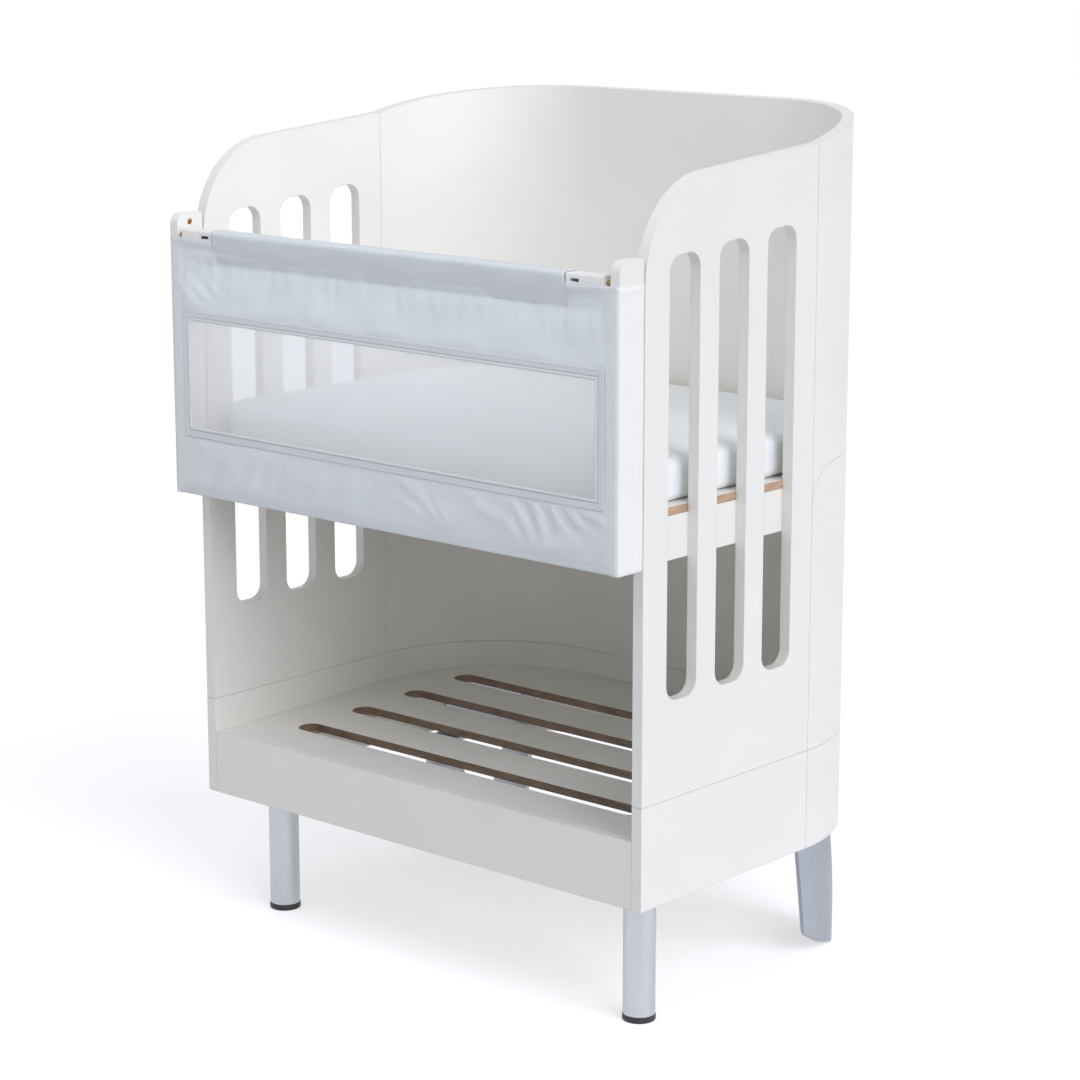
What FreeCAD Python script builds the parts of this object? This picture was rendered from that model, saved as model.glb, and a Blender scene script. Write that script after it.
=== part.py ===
"""Bedside sleeper crib: a bent-plywood shell on four metal legs, with a slotted
side panel at each end, a raised mattress over an open storage shelf, and a
cloth guard with a mesh window that slides down the front.

Millimetres, +Z up. The model is drawn in the body's own frame: X across the
front, Y back from the front edges of the side panels, Z up from the underside
of the body. On export it moves so that the origin is on the floor, under the
middle of its bounding box, with the guard facing -Y.
"""
import FreeCAD, Part
import math
import os

Vec = FreeCAD.Vector

# ---------------------------------------------------------------- body shell
WIDTH = 860.0            # outside width of the body
DEPTH = 621.0            # front edge of the side panels to the back face
WALL = 17.0              # painted plywood of the side panels and the shell
CORNER_R = 248.0         # outer radius of the two back corners
BASE_H = 147.0           # height of the base ring, up to the level seam
SEAM = 0.3               # joint line left between neighbouring panels
PANEL_FRONT_Z = 983.0    # side panel's top line, where it would meet the front edge
PANEL_RISE = 0.081       # rise of that top line per millimetre of depth
PANEL_NOSE_R = 140.0     # rounded front top corner of a side panel
RIM_RISE_MID = 24.0      # shell rim above the side panel's top: half way back
RIM_RISE_BACK = 38.0     # and at the back
BACK_PANEL_TOP = 562.0   # top of the lower back panel
BACK_PANEL_R = 60.0      # its two rounded top corners
FASCIA_H = 97.0          # front board of the base

# ------------------------------------------------------------ side slots
SLOT_COUNT = 3
SLOT_FIRST_Y = 50.5      # front edge of the first slot
SLOT_PITCH = 105.2
SLOT_W = 64.0            # under the 65 mm that a crib's gaps may have
SLOT_BOTTOM_Z = 285.0
SLOT_BELOW_TOP = 101.0   # slot's top, below the side panel's top line
SLOT_R = 22.0

# ------------------------------------------------ shelf and mattress board
PLY = 12.0               # both slotted boards
SHELF_FRONT_Z = 94.0     # shelf's top at its front edge
SHELF_RISE = 0.0221      # rise of the shelf per millimetre towards the back
MATTRESS_BOARD_TOP_Z = 547.5
BOARD_GAP = 0.3          # board edge to the walls round it
VENT_COUNT = 4
VENT_FIRST_Y = 111.5     # middle of the first slot in a board
VENT_PITCH = 116.5
VENT_W = 38.0
VENT_END_IN = 92.0       # a slot's rounded end, in from the body's side
BOARD_FRONT_Y = 3.0      # mattress board's front edge
CLEAT_W = 18.0
CLEAT_H = 30.0
RAIL_T = 18.0            # rails under the mattress board
RAIL_H = 61.0
RAIL_FRONT_Y = 3.0
RAIL_BACK_Y = 290.0      # rear cross rail, between two slots of the board
BACK_CLEAT_LEN = 330.0

# ------------------------------------------------------------------ mattress
MATTRESS_T = 64.0
MATTRESS_SIDE_GAP = 10.0     # widest part of the mattress to the shell
MATTRESS_FRONT_Y = 7.0
MATTRESS_FRONT_R = 34.0
MATTRESS_BACK_R = 205.0
MATTRESS_CROWN = 5.0         # rise of the top from its shoulder to its middle
MATTRESS_CROWN_IN = 150.0    # the crown is level this far in from the sides
MATTRESS_SHOULDER_IN = 24.0  # width of the rounded shoulder
MATTRESS_DRAW_IN = 13.0      # sides drawn in at the bottom seam
MATTRESS_BELLY = 0.42        # height of the widest line, as a share of the thickness
SOFT_GAP = 0.3               # kept free round soft pieces

# ---------------------------------------------------------------------- legs
LEG_H = 195.0            # floor to the underside of the body
LEG_R = 23.0
LEG_WALL = 2.5
LEG_IN = 73.0            # leg's middle, in from the body's side
LEG_Y = 86.5
GLIDE_H = 9.5
GLIDE_RIM = 0.8          # glide's disc stands out past the tube by this
LEG_PLATE = 78.0
LEG_PLATE_T = 3.0
LEG_BOARD_T = 26.0
LEG_BOARD_REACH = 61.0   # leg's middle to the inner end of its board
LEG_BOARD_Y = 142.0      # its back edge
SCREW_R = 2.5
SCREW_LEN = 16.0
SCREW_HEAD_R = 4.5
SCREW_HEAD_H = 2.6

REAR_LEG_OUT = 96.0      # leg shell's axis from the back corner's, both ways
REAR_LEG_R = 108.0       # outer radius of the shell
REAR_LEG_T = 10.0
REAR_LEG_TURN = 40.0     # degrees from the side towards the back that it faces
REAR_LEG_SIDES = (-60.0, 47.0)   # its two side edges are cut square this far round from there
REAR_LEG_EDGE_TOP = -9.0     # side edge at the top, past that direction
REAR_LEG_EDGE_FOOT = 8.8     # and short of it at the foot
REAR_LEG_KNEE = 163.0    # depth below the body where the side edge ends
REAR_LEG_KNEE_R = 14.0
REAR_LEG_FOOT_R = 127.0  # radius of the foot's curve
REAR_LEG_TIP_EXTRA = 1.0     # the curve's tip past the floor, cut off flat
NOTCH_HALF_W = 46.0      # V notch in the shell, at the body's underside
NOTCH_H = 180.0          # depth where the notch's two sides would meet
NOTCH_R = 10.0
FLANGE_R = 60.0          # inner radius of the flange under the body
FLANGE_T = 6.0
REAR_TAB_H = 80.0
REAR_TAB_T = 8.0
REAR_TAB_START = 28.0    # degrees round the body's back corner
REAR_TAB_END = 60.0
BOLT_LOW_Z = 22.0        # two bolts of a tab, and the third above them
BOLT_HIGH_Z = 58.0
BOLT_TURN = 10.0         # degrees from the tab's middle to a low bolt

# --------------------------------------------------------------------- guard
GUARD_DEPTH = 52.0       # front of the cloth to the side panels' front edges
GUARD_BOTTOM_Z = 475.0
POST_TOP_Z = 890.0
POST_W = 15.0
POST_NOSE_R = 16.0       # rounded front top corner of a post
POST_FOOT = 3.0          # post ends this far above the cover's lower edge
GUARD_GAP = 1.0          # running gap from the posts to the side panels
COVER_T = 1.0            # cloth cover round a post
COVER_TOP_Z = 856.0
CLOTH_T = 1.2
RAIL_TOP_Z = 869.0       # top rail's end fittings
FITTING_H = 22.0
FITTING_D = 26.0
FITTING_LEN = 65.0
FITTING_GAP = 11.0       # its outer end to the post
SPIGOT_LEN = 22.0
RAIL_TUBE_H = 18.0
RAIL_TUBE_D = 22.0
RAIL_TUBE_WALL = 1.6
FIT = 0.1                # clearance of parts that slide together
SLEEVE_DROP = 48.0       # sleeve's sewn line below the rail's top
SLEEVE_BACK_Y = -44.5    # the cloth is drawn in to here along that line
DRAWN_H = 34.0           # height over which it is drawn in
HEM_RAIL_H = 15.0
HEM_RAIL_D = 20.0
HEM_BACK_H = 26.0
WINDOW_SIDE_IN = 25.0    # window's side edges, in from the post covers
WINDOW_BOTTOM_Z = 577.0
WINDOW_TOP_Z = 732.0
WINDOW_R = 7.0
PIPING_W = 8.0
PIPING_T = 0.8
NET_T = 0.8
NET_COLUMNS = 36
NET_ROWS = 8
NET_THREAD = 3.2
PIN_R = 3.0
PIN_Z = 860.0
PIN_Y = -42.0
PIN_START = 16.0         # pin's inner end, from the fitting's
PIN_BITE = 7.0           # pin's end inside the post
PIN_STROKE = 9.0
KNOB_START = 20.0        # knob's middle, from the fitting's inner end
KNOB_LEN = 5.5
KNOB_H = 3.4
KNOB_PROUD = 0.3
BORE_R = 4.5             # open bore near each post's top
BORE_Y = -26.0
BORE_Z = 877.0
BORE_DEPTH = 9.0

# ----------------------------------------------- hidden slide of the guard
DROP = 280.0             # travel of the guard
STUD_STEM_R = 2.2
STUD_HEAD_R = 4.3
STUD_HEAD_T = 3.0
STUD_SHANK_R = 2.0
STUD_SHANK_LEN = 20.0
STUD_LOW = 12.0          # lower stud above a post's foot
STUD_HIGH = 40.0         # upper stud below a post's top, with the guard down
CHANNEL_W = 12.0
CHANNEL_D = 9.0
CHANNEL_WALL = 1.2
SLIDE_FIT = 0.4

# -------------------------------------------------------------------- dowels
DOWEL_R = 4.0
DOWEL_LEN = 30.0
DOWEL_FIT = 0.05
DOWEL_IN = 60.0          # base dowels from the ends of their joint
SEAM_DOWEL_FOOT = 70.0   # seam dowels above the base ring
SEAM_DOWEL_BELOW = 130.0     # below the back panel's top
SEAM_DOWEL_ABOVE = 120.0     # above it
SEAM_DOWEL_TOP = 90.0        # and below the top of the seam

# ------------------------------------------------------- sizes worked out
HALF_W = WIDTH / 2
INNER_X = HALF_W - WALL
SEAM_Y = DEPTH - CORNER_R            # the back corners start at this seam
CORNER_X = HALF_W - CORNER_R
REAR_LEG_X = CORNER_X + REAR_LEG_OUT
REAR_LEG_Y = SEAM_Y + REAR_LEG_OUT
LEG_X = HALF_W - LEG_IN
LEG_BOARD_X = LEG_X - LEG_BOARD_REACH
VENT_HALF_LEN = HALF_W - VENT_END_IN
PANEL_TOP_SEAM = PANEL_FRONT_Z + PANEL_RISE * SEAM_Y
CLOTH_Y = -GUARD_DEPTH               # front face of the cloth
FRONT_REACH = GUARD_DEPTH + PIPING_T
POST_OUT_X = HALF_W - COVER_T
POST_IN_X = POST_OUT_X - POST_W
COVER_IN_X = POST_IN_X - COVER_T
WINDOW_HALF_W = COVER_IN_X - WINDOW_SIDE_IN
FITTING_OUT_X = POST_IN_X - FITTING_GAP
FITTING_IN_X = FITTING_OUT_X - FITTING_LEN
PIN_INNER_X = FITTING_IN_X + PIN_START
KNOB_X = FITTING_IN_X + KNOB_START
POST_FRONT_Y = CLOTH_Y + COVER_T
POST_FOOT_Z = GUARD_BOTTOM_Z + POST_FOOT
CLEAT_FOOT_Z = SHELF_FRONT_Z - PLY - CLEAT_H
BOARD_UNDER_Z = MATTRESS_BOARD_TOP_Z - PLY
RAIL_UNDER_Z = BOARD_UNDER_Z - RAIL_H
STUD_LOW_Z = POST_FOOT_Z + STUD_LOW
STUD_HIGH_Z = POST_TOP_Z - DROP - STUD_HIGH
SIDES = (("left", -1), ("right", 1))


# ==================================================================== helpers
def rounded_corner(before, corner, after, radius):
    """Return where a round of that radius starts, its middle and its end."""
    to_before = (before - corner).normalize()
    to_after = (after - corner).normalize()
    half = to_before.getAngle(to_after) / 2
    reach = radius / math.tan(half)
    middle = (to_before + to_after).normalize()
    bulge = radius / math.sin(half) - radius
    return corner + to_before * reach, corner + middle * bulge, corner + to_after * reach


def outline(corners):
    """Closed wire through corners, each (point, radius), with tangent rounds."""
    count = len(corners)
    spans = []
    for i, (point, radius) in enumerate(corners):
        if radius > 0:
            before = corners[i - 1][0]
            after = corners[(i + 1) % count][0]
            spans.append(rounded_corner(before, point, after, radius))
        else:
            spans.append((point, None, point))
    edges = []
    for i, (start, middle, end) in enumerate(spans):
        if middle is not None:
            edges.append(Part.Arc(start, middle, end).toShape())
        following = spans[(i + 1) % count][0]
        if end.distanceToPoint(following) > 1e-6:
            edges.append(Part.LineSegment(end, following).toShape())
    return Part.Wire(edges)


def swept(corners, travel):
    """Solid from a rounded outline moved along travel."""
    return Part.Face(outline(corners)).extrude(travel)


def box(x0, x1, y0, y1, z0, z1):
    """Box between two values on each axis, in either order."""
    low = Vec(min(x0, x1), min(y0, y1), min(z0, z1))
    return Part.makeBox(abs(x1 - x0), abs(y1 - y0), abs(z1 - z0), low)


def rod(radius, start, direction, length):
    """Round bar from a start point."""
    return Part.makeCylinder(radius, length, start, direction)


def side_profile(points, x0, x1):
    """Solid from a rounded (y, z, radius) outline, between two X values."""
    corners = [(Vec(x0, y, z), r) for y, z, r in points]
    return swept(corners, Vec(x1 - x0, 0, 0))


def plan_solid(inset, front_y, z0, z1):
    """Solid inside the body's plan, inset from its outer face."""
    x = HALF_W - inset
    back = DEPTH - inset
    radius = CORNER_R - inset
    corners = [(Vec(-x, front_y, z0), 0), (Vec(x, front_y, z0), 0),
               (Vec(x, back, z0), radius), (Vec(-x, back, z0), radius)]
    return swept(corners, Vec(0, 0, z1 - z0))


def mirrored(shape):
    """The same shape on the other side of the X = 0 plane."""
    return shape.mirror(Vec(0, 0, 0), Vec(1, 0, 0))


def on_side(shape, sign):
    """A shape drawn for the right side, placed on the side asked for."""
    return shape if sign > 0 else mirrored(shape)


def panel_top(y):
    """Height of a side panel's top line at a depth."""
    return PANEL_FRONT_Z + PANEL_RISE * y


# ================================================================ body shell
def side_panel():
    """Right side panel: three upright slots and a large rounded nose."""
    panel = side_profile([(0, BASE_H + SEAM, 0),
                          (0, PANEL_FRONT_Z, PANEL_NOSE_R),
                          (SEAM_Y, PANEL_TOP_SEAM, 0),
                          (SEAM_Y, BASE_H + SEAM, 0)], INNER_X, HALF_W)
    for i in range(SLOT_COUNT):
        y0 = SLOT_FIRST_Y + i * SLOT_PITCH
        y1 = y0 + SLOT_W
        panel = panel.cut(side_profile([(y0, SLOT_BOTTOM_Z, SLOT_R),
                                        (y0, panel_top(y0) - SLOT_BELOW_TOP, SLOT_R),
                                        (y1, panel_top(y1) - SLOT_BELOW_TOP, SLOT_R),
                                        (y1, SLOT_BOTTOM_Z, SLOT_R)],
                                       INNER_X - WALL, HALF_W + WALL))
    return panel.cut(stud_bores()).cut(seam_dowels(DOWEL_FIT)).cut(base_dowels(DOWEL_FIT))


def shell_wall(z0, z1):
    """The bent wall round the back, from seam to seam."""
    ring = plan_solid(0, 0, z0, z1).cut(plan_solid(WALL, -WALL, z0, z1))
    return ring.common(box(-HALF_W, HALF_W, SEAM_Y + SEAM, DEPTH, z0, z1))


def under_rim():
    """Space below the shell's rim, which climbs from the seams to the back."""
    x = HALF_W
    middle_y = SEAM_Y + CORNER_R / 2
    points = [Vec(-x, SEAM_Y, PANEL_TOP_SEAM),
              Vec(-x, middle_y, PANEL_TOP_SEAM + RIM_RISE_MID),
              Vec(-x, DEPTH, PANEL_TOP_SEAM + RIM_RISE_BACK)]
    rim = Part.Arc(*points).toShape()
    corners = [points[2], Vec(-x, DEPTH, 0), Vec(-x, SEAM_Y, 0), points[0]]
    lines = [Part.LineSegment(a, b).toShape() for a, b in zip(corners, corners[1:])]
    return Part.Face(Part.Wire([rim] + lines)).extrude(Vec(2 * x, 0, 0))


def under_back_panel(grow):
    """Space below the lower back panel's rounded top, grown by a joint line."""
    x = HALF_W
    return side_profile([(SEAM_Y - grow, 0, 0),
                         (SEAM_Y - grow, BACK_PANEL_TOP + grow, BACK_PANEL_R + grow),
                         (DEPTH + grow, BACK_PANEL_TOP + grow, 0),
                         (DEPTH + grow, 0, 0)], -x, x)


def shell_upper():
    wall = shell_wall(BASE_H + SEAM, PANEL_TOP_SEAM + RIM_RISE_BACK)
    return wall.common(under_rim()).cut(under_back_panel(SEAM)).cut(seam_dowels(DOWEL_FIT))


def back_panel_lower():
    wall = shell_wall(BASE_H + SEAM, BACK_PANEL_TOP)
    return wall.common(under_back_panel(0)).cut(seam_dowels(DOWEL_FIT)).cut(base_dowels(DOWEL_FIT))


def plinth_side():
    """Right side of the base ring."""
    return box(INNER_X, HALF_W, 0, SEAM_Y, 0, BASE_H).cut(base_dowels(DOWEL_FIT))


def plinth_back():
    return shell_wall(0, BASE_H).cut(base_dowels(DOWEL_FIT))


def plinth_front():
    """Front board of the base, between the two sides."""
    x = INNER_X - SEAM
    return box(-x, x, 0, WALL, 0, FASCIA_H)


def seam_dowels(grow=0.0):
    """Dowels across the two upright seams, in the middle of the wall."""
    heights = (BASE_H + SEAM_DOWEL_FOOT, BACK_PANEL_TOP - SEAM_DOWEL_BELOW,
               BACK_PANEL_TOP + SEAM_DOWEL_ABOVE, PANEL_TOP_SEAM - SEAM_DOWEL_TOP)
    x = HALF_W - WALL / 2
    half = DOWEL_LEN / 2 + grow
    return Part.makeCompound([rod(DOWEL_R + grow, Vec(sign * x, SEAM_Y - half, z), Vec(0, 1, 0), 2 * half)
                              for z in heights for _, sign in SIDES])


def base_dowels(grow=0.0):
    """Upright dowels between the base ring and the panels above it."""
    x = HALF_W - WALL / 2
    places = [(sign * x, y) for y in (DOWEL_IN, SEAM_Y - DOWEL_IN) for _, sign in SIDES]
    places += [(sign * CORNER_X * 0.7, DEPTH - WALL / 2) for _, sign in SIDES]
    half = DOWEL_LEN / 2 + grow
    return Part.makeCompound([rod(DOWEL_R + grow, Vec(px, py, BASE_H - half), Vec(0, 0, 1), 2 * half)
                              for px, py in places])


# ====================================================== boards and their rails
def vent_slots(z0, z1):
    """Long round-ended slots across a board."""
    slots = []
    end = VENT_W / 2
    for i in range(VENT_COUNT):
        y = VENT_FIRST_Y + i * VENT_PITCH
        x = VENT_HALF_LEN
        corners = [(Vec(-x, y - end, z0), end * 0.999), (Vec(x, y - end, z0), end * 0.999),
                   (Vec(x, y + end, z0), end * 0.999), (Vec(-x, y + end, z0), end * 0.999)]
        slots.append(swept(corners, Vec(0, 0, z1 - z0)))
    return Part.makeCompound(slots)


def shelf_under(y):
    """Height of the raked shelf's underside at a depth."""
    return SHELF_FRONT_Z - PLY + SHELF_RISE * (y - WALL)


def shelf_board():
    """Slotted shelf that rises gently towards the back."""
    y0 = WALL + BOARD_GAP
    x = HALF_W
    slab = side_profile([(y0, shelf_under(y0), 0), (y0, shelf_under(y0) + PLY, 0),
                         (DEPTH, shelf_under(DEPTH) + PLY, 0), (DEPTH, shelf_under(DEPTH), 0)], -x, x)
    return slab.common(plan_solid(WALL + BOARD_GAP, y0, 0, BASE_H)).cut(vent_slots(0, BASE_H))


def mattress_board():
    """Level slotted board under the mattress."""
    top = MATTRESS_BOARD_TOP_Z
    board = plan_solid(WALL + BOARD_GAP, BOARD_FRONT_Y, top - PLY, top)
    return board.cut(vent_slots(top - 2 * PLY, top + PLY))


def shelf_batten(x0, x1, y0, y1, foot):
    """Batten under the raked shelf, with a level foot."""
    return side_profile([(y0, foot, 0), (y0, shelf_under(y0), 0),
                         (y1, shelf_under(y1), 0), (y1, foot, 0)], x0, x1)


def shelf_cleat_side():
    """Batten on the right base side, under the shelf."""
    return shelf_batten(INNER_X - CLEAT_W, INNER_X, WALL, SEAM_Y, CLEAT_FOOT_Z)


def shelf_cleat_front():
    x = INNER_X - CLEAT_W
    return shelf_batten(-x, x, WALL, WALL + CLEAT_W, CLEAT_FOOT_Z)


def shelf_cleat_back():
    """Straight batten on the flat middle of the back wall."""
    x = BACK_CLEAT_LEN / 2
    y = DEPTH - WALL
    return shelf_batten(-x, x, y - CLEAT_W, y, shelf_under(y) - CLEAT_H)


def base_cleat_back():
    """Batten on the back wall, under the mattress board."""
    x = BACK_CLEAT_LEN / 2
    y = DEPTH - WALL
    return box(-x, x, y - CLEAT_W, y, BOARD_UNDER_Z - CLEAT_H, BOARD_UNDER_Z)


def base_rail_side():
    """Right rail that carries the mattress board."""
    return box(INNER_X - RAIL_T, INNER_X, RAIL_FRONT_Y, SEAM_Y - BOARD_GAP, RAIL_UNDER_Z, BOARD_UNDER_Z)


def base_rail_cross(y):
    """Rail across, between the two side rails."""
    x = INNER_X - RAIL_T
    return box(-x, x, y, y + RAIL_T, RAIL_UNDER_Z, BOARD_UNDER_Z)


def screw(tip_length, base, direction):
    """Round-headed screw: base is the seat of its head, the shank goes along direction."""
    head = rod(SCREW_HEAD_R, base - direction * SCREW_HEAD_H, direction, SCREW_HEAD_H)
    return head.fuse(rod(SCREW_R, base, direction, tip_length))


def rail_screw_places(sign):
    """Where screws hold a side rail to its panel, beside the slots."""
    z = (RAIL_UNDER_Z + BOARD_UNDER_Z) / 2
    x = sign * (INNER_X - RAIL_T)
    ribs = [SLOT_FIRST_Y / 2 + 6, SLOT_FIRST_Y + SLOT_PITCH - (SLOT_PITCH - SLOT_W) / 2,
            SLOT_FIRST_Y + 2 * SLOT_PITCH - (SLOT_PITCH - SLOT_W) / 2]
    return [Vec(x, y, z) for y in ribs]


def base_rail_screws():
    length = RAIL_T + WALL * 0.6
    return Part.makeCompound([screw(length, place, Vec(sign, 0, 0))
                              for _, sign in SIDES for place in rail_screw_places(sign)])


def rail_screw_holes():
    length = RAIL_T + WALL * 0.6 + 1
    return Part.makeCompound([rod(SCREW_R + DOWEL_FIT, place, Vec(sign, 0, 0), length)
                              for _, sign in SIDES for place in rail_screw_places(sign)])


# ======================================================================= legs
def leg_board():
    """Board in the right front corner of the base that a leg is screwed to."""
    top = CLEAT_FOOT_Z
    board = box(LEG_BOARD_X, INNER_X, WALL, LEG_BOARD_Y, top - LEG_BOARD_T, top)
    return board.cut(leg_plate_screws(DOWEL_FIT))


def leg_plate_top():
    return CLEAT_FOOT_Z - LEG_BOARD_T


def leg_screw_places():
    reach = LEG_PLATE / 2 - 9
    z = leg_plate_top() - LEG_PLATE_T
    return [Vec(LEG_X + sx * reach, LEG_Y + sy * reach * 0.9, z) for sx in (-1, 1) for sy in (-1, 1)]


def leg_plate_screws(grow=0.0):
    """Four screws up through each leg's plate."""
    screws = []
    for _, sign in SIDES:
        for place in leg_screw_places():
            start = Vec(sign * place.x, place.y, place.z)
            if grow:
                screws.append(rod(SCREW_R + grow, start, Vec(0, 0, 1), SCREW_LEN + 1))
            else:
                screws.append(screw(SCREW_LEN, start, Vec(0, 0, 1)))
    return Part.makeCompound(screws)


def leg_plate():
    """Square steel plate at the head of the right front leg."""
    half = LEG_PLATE / 2
    z0 = leg_plate_top() - LEG_PLATE_T
    corners = [(Vec(LEG_X + sx * half, LEG_Y + sy * half * 0.9, z0), 8)
               for sx, sy in ((-1, -1), (1, -1), (1, 1), (-1, 1))]
    plate = swept(corners, Vec(0, 0, LEG_PLATE_T))
    return plate.cut(leg_plate_screws(DOWEL_FIT))


def front_leg():
    """Round aluminium tube, open at both ends."""
    bottom = -LEG_H + GLIDE_H
    height = leg_plate_top() - LEG_PLATE_T - bottom
    start = Vec(LEG_X, LEG_Y, bottom)
    up = Vec(0, 0, 1)
    return rod(LEG_R, start, up, height).cut(rod(LEG_R - LEG_WALL, start, up, height))


def glide():
    """Black glide: a disc under the tube with a plug up inside it."""
    up = Vec(0, 0, 1)
    disc = rod(LEG_R + GLIDE_RIM, Vec(LEG_X, LEG_Y, -LEG_H), up, GLIDE_H)
    disc = disc.makeFillet(2.0, [e for e in disc.Edges if e.Closed and e.Length > 1])
    plug = rod(LEG_R - LEG_WALL - FIT, Vec(LEG_X, LEG_Y, -LEG_H + GLIDE_H - 1), up, 13)
    return disc.fuse(plug)


def arc_wall(r0, r1, start, end, z0, z1):
    """Piece of a ring round the right back corner, between two angles in degrees."""
    ring = rod(r1, Vec(CORNER_X, SEAM_Y, z0), Vec(0, 0, 1), z1 - z0)
    ring = ring.cut(rod(r0, Vec(CORNER_X, SEAM_Y, z0), Vec(0, 0, 1), z1 - z0))
    centre = Vec(CORNER_X, SEAM_Y, z0)
    far = 2 * CORNER_R
    rays = [centre + Vec(far * math.cos(math.radians(a)), far * math.sin(math.radians(a)), 0)
            for a in (start, end)]
    wedge = Part.Face(Part.makePolygon([centre, rays[0], rays[1], centre])).extrude(Vec(0, 0, z1 - z0))
    return ring.common(wedge)


def rear_leg_prism(turn, start, corners):
    """Solid from a rounded (across, z, radius) outline, along a direction from the leg's axis."""
    angle = math.radians(REAR_LEG_TURN + turn)
    out = Vec(math.cos(angle), math.sin(angle), 0)
    across = Vec(-math.sin(angle), math.cos(angle), 0)
    origin = Vec(REAR_LEG_X, REAR_LEG_Y, 0) + out * start
    points = [(origin + across * q + Vec(0, 0, z), r) for q, z, r in corners]
    return swept(points, out * (2 * REAR_LEG_R))


def rear_leg_side(turn):
    """Space on the inner side of one side edge, which leans in towards a rounded knee."""
    far = 2 * REAR_LEG_R
    sign = math.copysign(1, turn)
    return rear_leg_prism(turn, -REAR_LEG_R,
                          [(-sign * REAR_LEG_EDGE_TOP, 1, 0),
                           (-sign * REAR_LEG_EDGE_FOOT, -REAR_LEG_KNEE, REAR_LEG_KNEE_R),
                           (-sign * far, -REAR_LEG_KNEE - 0.59 * far, 0), (-sign * far, 1, 0)])


def rear_leg_foot():
    """Space above the foot's curve: a round bar lying along the direction the leg faces."""
    angle = math.radians(REAR_LEG_TURN)
    out = Vec(math.cos(angle), math.sin(angle), 0)
    start = Vec(REAR_LEG_X, REAR_LEG_Y, REAR_LEG_FOOT_R - LEG_H - REAR_LEG_TIP_EXTRA) + out * FLANGE_R * 0.3
    bar = rod(REAR_LEG_FOOT_R, start, out, 2 * REAR_LEG_R)
    block = rear_leg_prism(0, FLANGE_R * 0.3,
                           [(-REAR_LEG_FOOT_R, start.z, 0), (REAR_LEG_FOOT_R, start.z, 0),
                            (REAR_LEG_FOOT_R, 1, 0), (-REAR_LEG_FOOT_R, 1, 0)])
    return bar.fuse(block)


def rear_leg_ring(r0, r1, z0, z1):
    axis = Vec(REAR_LEG_X, REAR_LEG_Y, z0)
    up = Vec(0, 0, 1)
    return rod(r1, axis, up, z1 - z0).cut(rod(r0, axis, up, z1 - z0))


def rear_leg():
    """Right rear leg: a half-round shell with a deep V notch, a flange and a tab inside."""
    notch = rear_leg_prism(0, 0, [(0, -NOTCH_H, NOTCH_R), (NOTCH_HALF_W, 0, 0), (NOTCH_HALF_W, 5, 0),
                                  (-NOTCH_HALF_W, 5, 0), (-NOTCH_HALF_W, 0, 0)])
    shell = rear_leg_ring(REAR_LEG_R - REAR_LEG_T, REAR_LEG_R, -LEG_H, 0).cut(notch)
    flange = rear_leg_ring(FLANGE_R, REAR_LEG_R - REAR_LEG_T + 1, -FLANGE_T, 0)
    cast = shell.fuse(flange).common(rear_leg_foot())
    for turn in REAR_LEG_SIDES:
        cast = cast.common(rear_leg_side(turn))
    tab_outer = CORNER_R - WALL
    tab = arc_wall(tab_outer - REAR_TAB_T, tab_outer, REAR_TAB_START, REAR_TAB_END, -FLANGE_T, REAR_TAB_H)
    return cast.fuse(tab).cut(rear_leg_bolts(DOWEL_FIT)).removeSplitter()


def rear_leg_bolts(grow=0.0):
    """Three bolts through each rear leg's tab into the base ring."""
    bolts = []
    seat = CORNER_R - WALL - REAR_TAB_T
    middle = (REAR_TAB_START + REAR_TAB_END) / 2
    for _, sign in SIDES:
        for angle, z in ((middle - BOLT_TURN, BOLT_LOW_Z), (middle + BOLT_TURN, BOLT_LOW_Z),
                         (middle, BOLT_HIGH_Z)):
            a = math.radians(angle)
            out = Vec(sign * math.cos(a), math.sin(a), 0)
            base = Vec(sign * CORNER_X, SEAM_Y, z) + out * seat
            length = REAR_TAB_T + WALL * 0.6
            if grow:
                bolts.append(rod(SCREW_R + grow, base - out, out, length + 2))
            else:
                bolts.append(screw(length, base - out * 0.6, out))
    return Part.makeCompound(bolts)


# =================================================================== mattress
def mattress_ring(inset, z):
    """Plan outline of the mattress at one height, inset from its widest line."""
    x = INNER_X - MATTRESS_SIDE_GAP - inset
    front = MATTRESS_FRONT_Y + inset
    back = DEPTH - WALL - MATTRESS_SIDE_GAP - inset
    front_r = max(MATTRESS_FRONT_R - inset, 6.0)
    back_r = max(MATTRESS_BACK_R - inset, 12.0)
    return outline([(Vec(-x, front, z), front_r), (Vec(x, front, z), front_r),
                    (Vec(x, back, z), back_r), (Vec(-x, back, z), back_r)])


def mattress_profile():
    """(inset, height) from the bottom seam, round the full side and up the crown."""
    belly = MATTRESS_T * MATTRESS_BELLY
    shoulder = MATTRESS_T - MATTRESS_CROWN
    rings = []
    for i in range(4):
        a = math.radians(90 * (1 - i / 4))
        rings.append((MATTRESS_DRAW_IN * (1 - math.cos(a)), belly * (1 - math.sin(a))))
    for i in range(6):
        a = math.radians(90 * i / 5)
        rings.append((MATTRESS_SHOULDER_IN * (1 - math.cos(a)), belly + (shoulder - belly) * math.sin(a)))
    for share in (0.3, 0.6, 1.0):
        rings.append((MATTRESS_SHOULDER_IN + share * (MATTRESS_CROWN_IN - MATTRESS_SHOULDER_IN),
                      shoulder + MATTRESS_CROWN * math.sin(math.radians(90 * share))))
    return rings


def mattress():
    """Cushion with drawn-in seams, full sides and a low crown."""
    z0 = MATTRESS_BOARD_TOP_Z + SOFT_GAP
    rings = [mattress_ring(inset, z0 + z) for inset, z in mattress_profile()]
    return Part.makeLoft(rings, True, True)


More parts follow.
